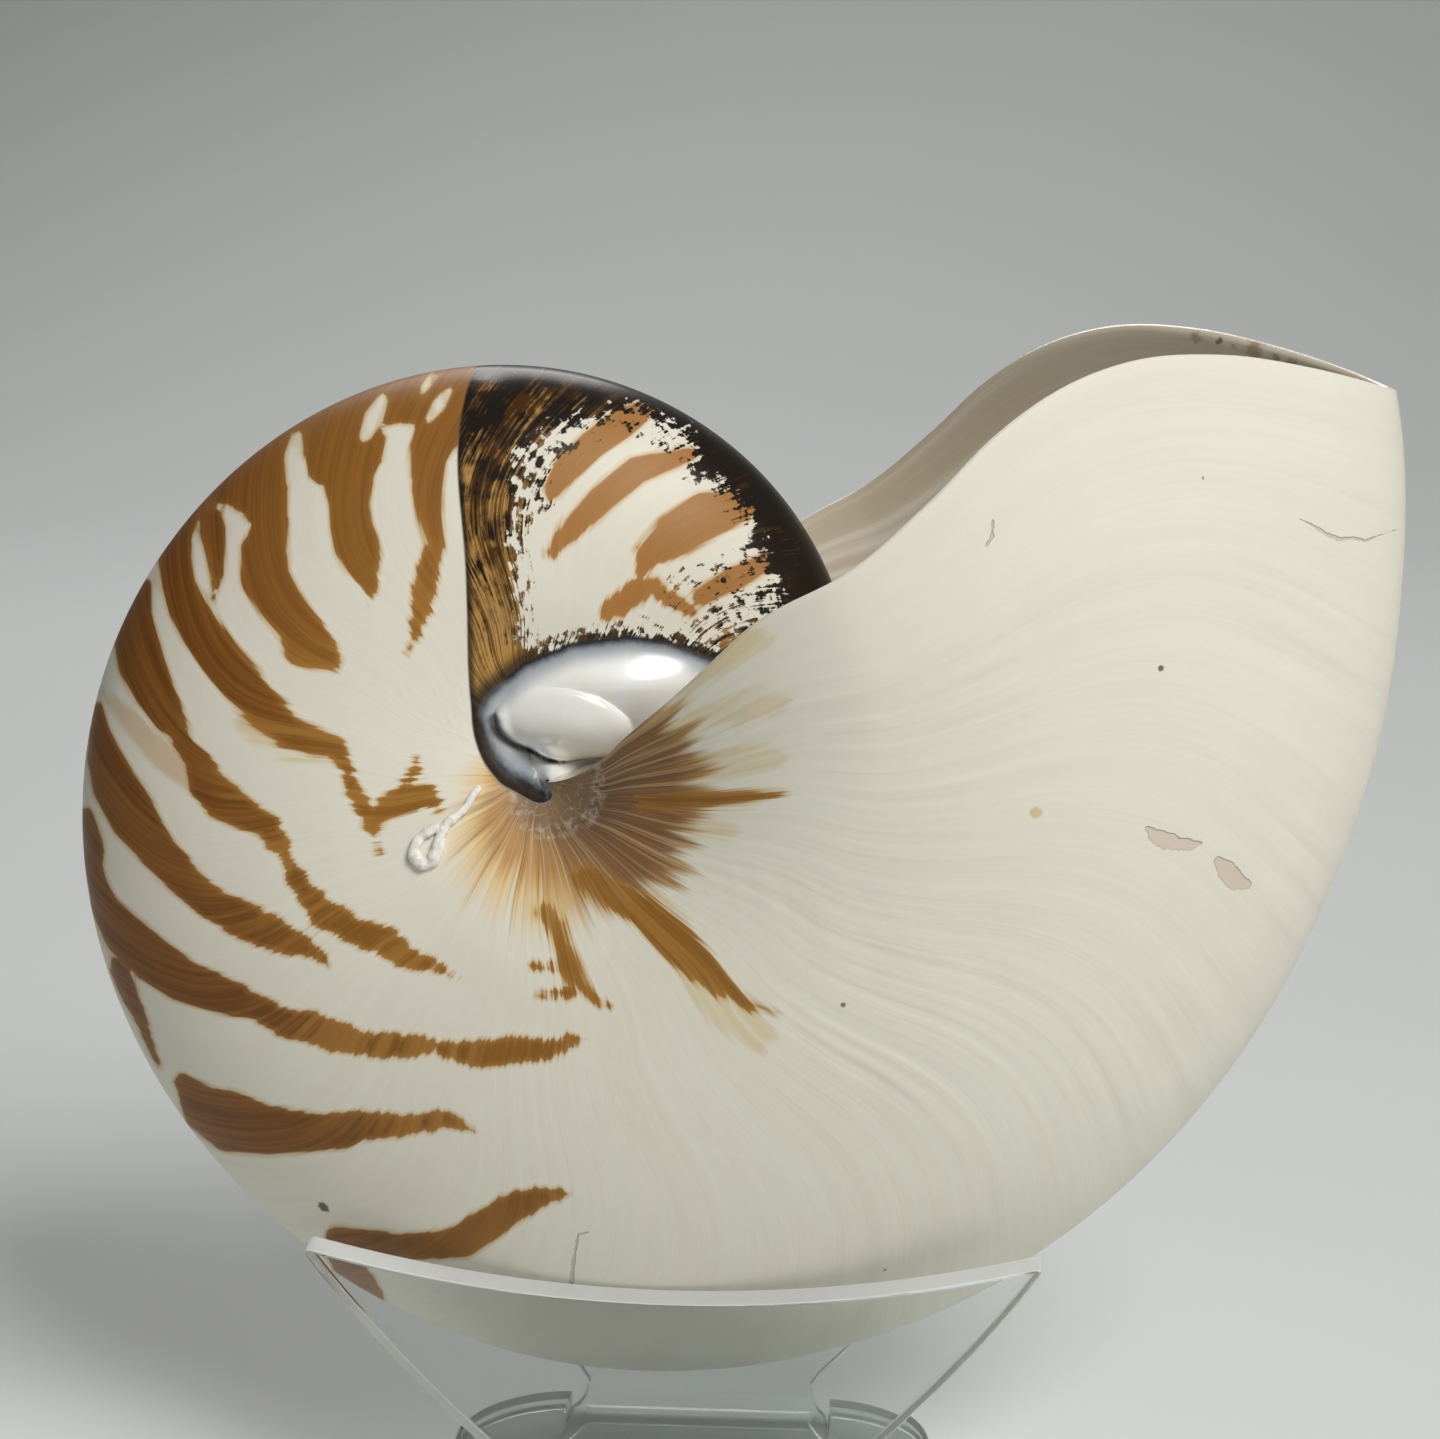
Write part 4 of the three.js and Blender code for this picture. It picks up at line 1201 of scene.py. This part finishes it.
def fan_layer(w, s, colour, flame_mask):
    """Fan of rays round the umbilicus, golden where it is old, with the crackled callus in its middle."""
    rays = w.streaks(0.30, 1.0, 3.0)
    older = w.step(s.growth, -72.0, -140.0)
    old_colour = w.mix(w.step(w.plus(s.fan, w.times(rays, 0.5)), 0.45, 0.75), FAN_YELLOW, FAN_OLD)
    ray_colour = w.mix(w.step(s.fan, 0.0, 0.25), FAN_GOLD, FAN_BROWN)
    ray_colour = w.mix(w.step(s.fan, 0.35, 0.75), ray_colour, FAN_MAUVE)
    ray_colour = w.mix(w.times(older, w.step(s.fan, 0.85, 0.5)), ray_colour, old_colour)
    pale_lines = w.plus(w.times(w.step(w.streaks(0.34, 0.3, 2.0), 0.53, 0.60), 0.42),
                        w.times(w.step(w.streaks(0.95, 0.3, 1.5), 0.56, 0.66), 0.22))
    ray_colour = w.mix(pale_lines, ray_colour, FAN_PALE)
    dark_lines = w.times(w.step(w.streaks(0.6, 0.3, 2.0), 0.47, 0.36), 0.55)
    ray_colour = w.mix(dark_lines, ray_colour, FAN_MAUVE)
    ragged = w.plus(s.fan, w.centred(rays, 0.75))
    mask = w.step(ragged, w.between(older, -0.03, -0.15), w.between(older, 0.14, 0.45))
    colour = w.mix(w.times(mask, w.between(flame_mask, 0.94, 0.30)), colour, ray_colour)

    cells = w.node("ShaderNodeTexVoronoi", {"Vector": w.place(), "Scale": 0.8}, feature="DISTANCE_TO_EDGE")
    crackle = w.times(w.step(cells.outputs["Distance"], 0.10, 0.01), w.step(s.grain, 0.42, 0.62))
    callus = w.mix(w.times(crackle, 0.45), CALLUS, CALLUS_CRACK)
    colour = w.mix(w.times(w.step(s.fan, 0.66, 0.78), 0.75), colour, callus)
    ring = w.times(w.step(s.fan, 0.60, 0.66), w.step(s.fan, 0.74, 0.68))
    return w.mix(w.times(w.times(ring, w.step(s.grain, 0.40, 0.65)), 0.5), colour, CALLUS_CRACK)


def chip_layer(w, s, colour):
    """Chips with painted shade along their edge, and cracks. Gives the colour and the sum of both masks."""
    chip = w.plus(w.marks(CHIPS), w.centred(s.grain, 0.8))
    crack = w.plus(w.marks(CRACKS), w.centred(s.grain, 0.6))
    chip_mask = w.step(chip, -0.04, 0.08)
    crack_mask = w.step(crack, -0.06, 0.08)
    # painted shade: a darker ring along each chip's edge, laid on below in the crack colour
    edge = w.times(w.step(chip, -0.12, 0.0), w.step(chip, 0.22, 0.05))
    colour = w.mix(w.times(chip_mask, 0.5), colour, CHIP)
    colour = w.mix(w.times(edge, 0.22), colour, CRACK_AND_CHIP_SHADE)
    colour = w.mix(w.times(crack_mask, 0.32), colour, CRACK_AND_CHIP_SHADE)
    return colour, w.plus(chip_mask, crack_mask)


def film_layer(w, s, colour):
    """Dark film in streaks of brown and gold, black in blots and along its edges, worn through in a patch.
    Gives the colour and the mask."""
    patchy = w.plus(w.streaks(0.7, 2.6, 3.0), w.times(w.grain(2.2), 0.5))
    inward = w.times(w.minus(0.58, s.share), 0.32)
    dark = w.mix(w.step(w.plus(patchy, inward), 0.58, 0.86), FILM_BROWN, FILM_GOLD)
    dark = w.mix(w.times(w.step(w.streaks(1.9, 1.6, 3.0), 0.50, 0.60), 0.75), dark, FILM_BROWN)
    blots = w.plus(w.times(w.grain(4.0), 0.8), w.times(w.streaks(1.6, 6.0), 0.7))
    black_places = (
        w.step(w.minus(blots, inward), 0.74, 0.88),
        w.times(w.times(w.step(s.share, 0.66, 0.84), w.step(s.film, 8.0, 20.0)), 0.88),
        w.times(w.step(s.pearl, -2.4, -0.4), 0.85),
        w.times(w.step(s.film, 1.1, 0.3), 0.8),
    )
    for black in black_places:
        dark = w.mix(black, dark, FILM_BLACK)
    specks = w.plus(w.centred(w.grain(1.3), 9.0), w.centred(w.streaks(1.3, 2.0), 6.0))
    worn_mask = w.step(w.plus(s.worn, specks), -0.2, 0.4)
    mask = w.times(w.step(s.film, -0.15, 0.15), w.minus(1.0, worn_mask))
    return w.mix(mask, colour, dark), mask


def pearl_layer(w, s, colour):
    """Pearl in the hollow, blue-grey and then dark towards its edge, with a painted highlight and painted
    shade along the crease under the boss, and the duller wall of the chamber.
    Gives the colour and the mask."""
    edge = w.plus(s.pearl, w.centred(s.grain, 0.5))
    mask = w.step(edge, -0.25, 0.25)
    sheen = w.mix(w.step(s.cloud, 0.35, 0.65), PEARL_WHITE, PEARL_WARM)
    # painted highlight: the pearl's colour is lightened where the highlight falls
    sheen = w.mix(w.step(w.plus(s.gleam, s.grain), -1.5, 1.5), sheen, PEARL_PAINTED_HIGHLIGHT)
    sheen = w.mix(w.step(s.pearl, 3.6, 0.9), sheen, PEARL_BLUE)
    sheen = w.mix(w.step(edge, 1.3, 0.2), sheen, PEARL_DARK)
    # painted shade: near black along the crease under the boss
    sheen = w.mix(w.times(w.step(s.crease, -0.4, 0.12), 0.92), sheen, PEARL_DARK)
    wall = w.mix(w.times(w.step(s.broad, 0.4, 0.7), 0.4), CHAMBER_WALL, PEARL_WARM)
    sheen = w.mix(w.step(s.pearl, 22.0, 28.0), sheen, wall)
    return w.mix(mask, colour, sheen), mask


def stain_layer(w, s, colour):
    """Small stains: uneven rounds about places on the near flank or on the inside of the far wall."""
    inside = w.step(s.pearl, 15.0, 25.0)
    for pixel, side, radius, stain in SPECKS:
        middle = tuple(flank_hit([pixel], side)[0])
        apart = w.vectors("DISTANCE", w.place(), middle)[1]
        uneven = w.plus(apart, w.centred(s.grain, 1.2 * radius))
        mask = w.times(w.step(uneven, radius, 0.5 * radius), 0.85)
        colour = w.mix(w.times(mask, inside if side > 0 else 1.0), colour, stain)
    return colour


def shell_relief(w, s, film_mask, pearl_mask, breaks):
    """Height of the fine relief: ribs that come and go on newer growth, lines, film, breaks and grain."""
    newer = w.times(w.step(s.growth, -130.0, -60.0), w.step(s.share, 0.25, 0.75))
    patches = w.between(w.step(w.noise(w.place(), 0.03, 0.0), 0.40, 0.60), 0.35, 1.0)
    ribs = w.times(w.times(w.streaks(0.42, 0.35, 1.5), patches), w.between(newer, RIBS_OLD, RIBS_NEW))
    lines = w.plus(ribs, w.times(s.fine, LINES_HEIGHT))
    height = w.plus(w.between(pearl_mask, lines, 0.0), w.times(film_mask, FILM_HEIGHT))
    height = w.plus(height, w.times(breaks, BREAK_HEIGHT))
    return w.plus(height, w.times(s.grain, GRAIN_HEIGHT))


def shell_material():
    """Cream shell with flames, brown fan, chips, dark film, pearl and stains, layer over layer."""
    material, w, shader = new_material("shell")
    s = shell_values(w)
    colour, flame_mask = flame_layer(w, s, cream_layer(w, s))
    colour = fan_layer(w, s, colour, flame_mask)
    colour, breaks = chip_layer(w, s, colour)
    colour, film_mask = film_layer(w, s, colour)
    colour, pearl_mask = pearl_layer(w, s, colour)
    colour = stain_layer(w, s, colour)
    gloss = w.between(w.step(s.broad, 0.3, 0.7), *CREAM_ROUGH)
    gloss = w.between(film_mask, gloss, FILM_ROUGH)
    gloss = w.between(pearl_mask, gloss, PEARL_ROUGH)
    relief = w.bump(shell_relief(w, s, film_mask, pearl_mask, breaks))
    w.join(shader, {
        "Base Color": colour, "Roughness": gloss, "Normal": relief, "Coat Weight": pearl_mask,
        "Coat Roughness": PEARL_COAT_ROUGH, "Coat IOR": PEARL_COAT_IOR, "Specular IOR Level": SHELL_SHINE,
    })
    return material


def tube_material():
    """Chalky white of the worm tube."""
    material, w, shader = new_material("worm_tube")
    chalk = w.grain(0.6, 1.3)
    colour = w.mix(w.step(chalk, 0.3, 0.7), TUBE_GREY, TUBE_WHITE)
    relief = w.bump(w.times(chalk, CHALK_HEIGHT))
    w.join(shader, {"Base Color": colour, "Roughness": TUBE_ROUGH, "Normal": relief})
    return material


def acrylic_materials():
    """Clear sheet with a little haze, and its cut edge, which is more matt and lets less light through."""
    clear, w, shader = new_material("clear_acrylic")
    haze = w.step(w.grain(3.0, 1.4), 0.5, 0.9)
    w.join(shader, {"Roughness": w.between(haze, *ACRYLIC_ROUGH)})
    edge, _, edge_shader = new_material("acrylic_edge")
    w.join(edge_shader, {"Roughness": EDGE_ROUGH})
    for look, light_through in ((shader, CLEAR_THROUGH), (edge_shader, EDGE_THROUGH)):
        w.join(look, {"Base Color": ACRYLIC_TINT, "IOR": ACRYLIC_IOR, "Transmission Weight": light_through})
    return clear, edge


def make_floor():
    """Plain pale sweep: a profile of flat floor, quarter round and upright wall, carried sideways."""
    flat = np.stack([np.linspace(FLOOR_FRONT, FLOOR_BACK, FLOOR_STEPS), np.full(FLOOR_STEPS, FLOOR_Z)], -1)
    angle = np.linspace(0, np.pi / 2, FLOOR_STEPS + 1)[1:]
    bend_y = FLOOR_BACK + FLOOR_ROUND * np.sin(angle)
    bend = np.stack([bend_y, FLOOR_Z + FLOOR_ROUND - FLOOR_ROUND * np.cos(angle)], -1)
    wall_z = np.linspace(FLOOR_ROUND, FLOOR_TOP, FLOOR_WALL_STEPS + 1)[1:]
    rise = np.stack([np.full(FLOOR_WALL_STEPS, FLOOR_BACK + FLOOR_ROUND), wall_z], -1)
    profile = np.concatenate([flat, bend, rise])
    across = np.linspace(-FLOOR_HALF, FLOOR_HALF, FLOOR_COLUMNS)
    grid = np.stack(np.broadcast_arrays(across[None], profile[:, :1], profile[:, 1:]), -1)
    floor = make_piece("floor", grid.reshape(-1, 3), grid_faces(*grid.shape[:2], 0).tolist())
    material, w, shader = new_material("floor")
    w.join(shader, {"Base Color": w.mix(w.grain(160.0), FLOOR_GREY, FLOOR_PALE), "Roughness": FLOOR_ROUGH})
    floor.data.materials.append(material)


def add_light(name, place, size, power, colour):
    """Square soft light in metres that looks from its place to the object."""
    light = bpy.data.lights.new(name, "AREA")
    light.size = size
    light.energy = power
    light.color = colour
    lamp = bpy.data.objects.new(name, light)
    lamp.location = place
    lamp.rotation_euler = (Vector(LIGHT_AIM) - Vector(place)).to_track_quat("-Z", "Y").to_euler()
    bpy.context.scene.collection.objects.link(lamp)


def set_stage():
    """Floor, soft lights, pale surroundings, and the camera at the photograph's place."""
    make_floor()
    for light in LIGHTS:
        add_light(*light)
    world = bpy.data.worlds.new("surroundings")
    world.use_nodes = True
    background = world.node_tree.nodes["Background"]
    background.inputs["Color"].default_value = SURROUNDINGS
    background.inputs["Strength"].default_value = SURROUNDINGS_STRENGTH
    bpy.context.scene.world = world
    bpy.context.scene.view_settings.view_transform = "Standard"
    lens = bpy.data.cameras.new("camera")
    lens.sensor_width = SENSOR_MM
    lens.lens = SENSOR_MM * FOCAL_PIXELS / PHOTO_WIDTH
    camera = bpy.data.objects.new("camera", lens)
    camera.location = CAMERA * MM
    camera.rotation_euler = Euler((np.radians(90 - CAMERA_PITCH), 0, np.radians(CAMERA_YAW)))
    bpy.context.scene.collection.objects.link(camera)
    bpy.context.scene.camera = camera


make_groups()
shell = make_shell()
shell.data.materials.append(shell_material())
tube = make_worm_tube()
tube.data.materials.append(tube_material())
stand = make_stand()
for look in acrylic_materials():
    stand.data.materials.append(look)
for piece, slot_name in ((shell, "shell"), (tube, "shell"), (stand, "acrylic")):
    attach(piece, "root")
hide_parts("nautilus_shell")
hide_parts("acrylic_stand")
set_stage()
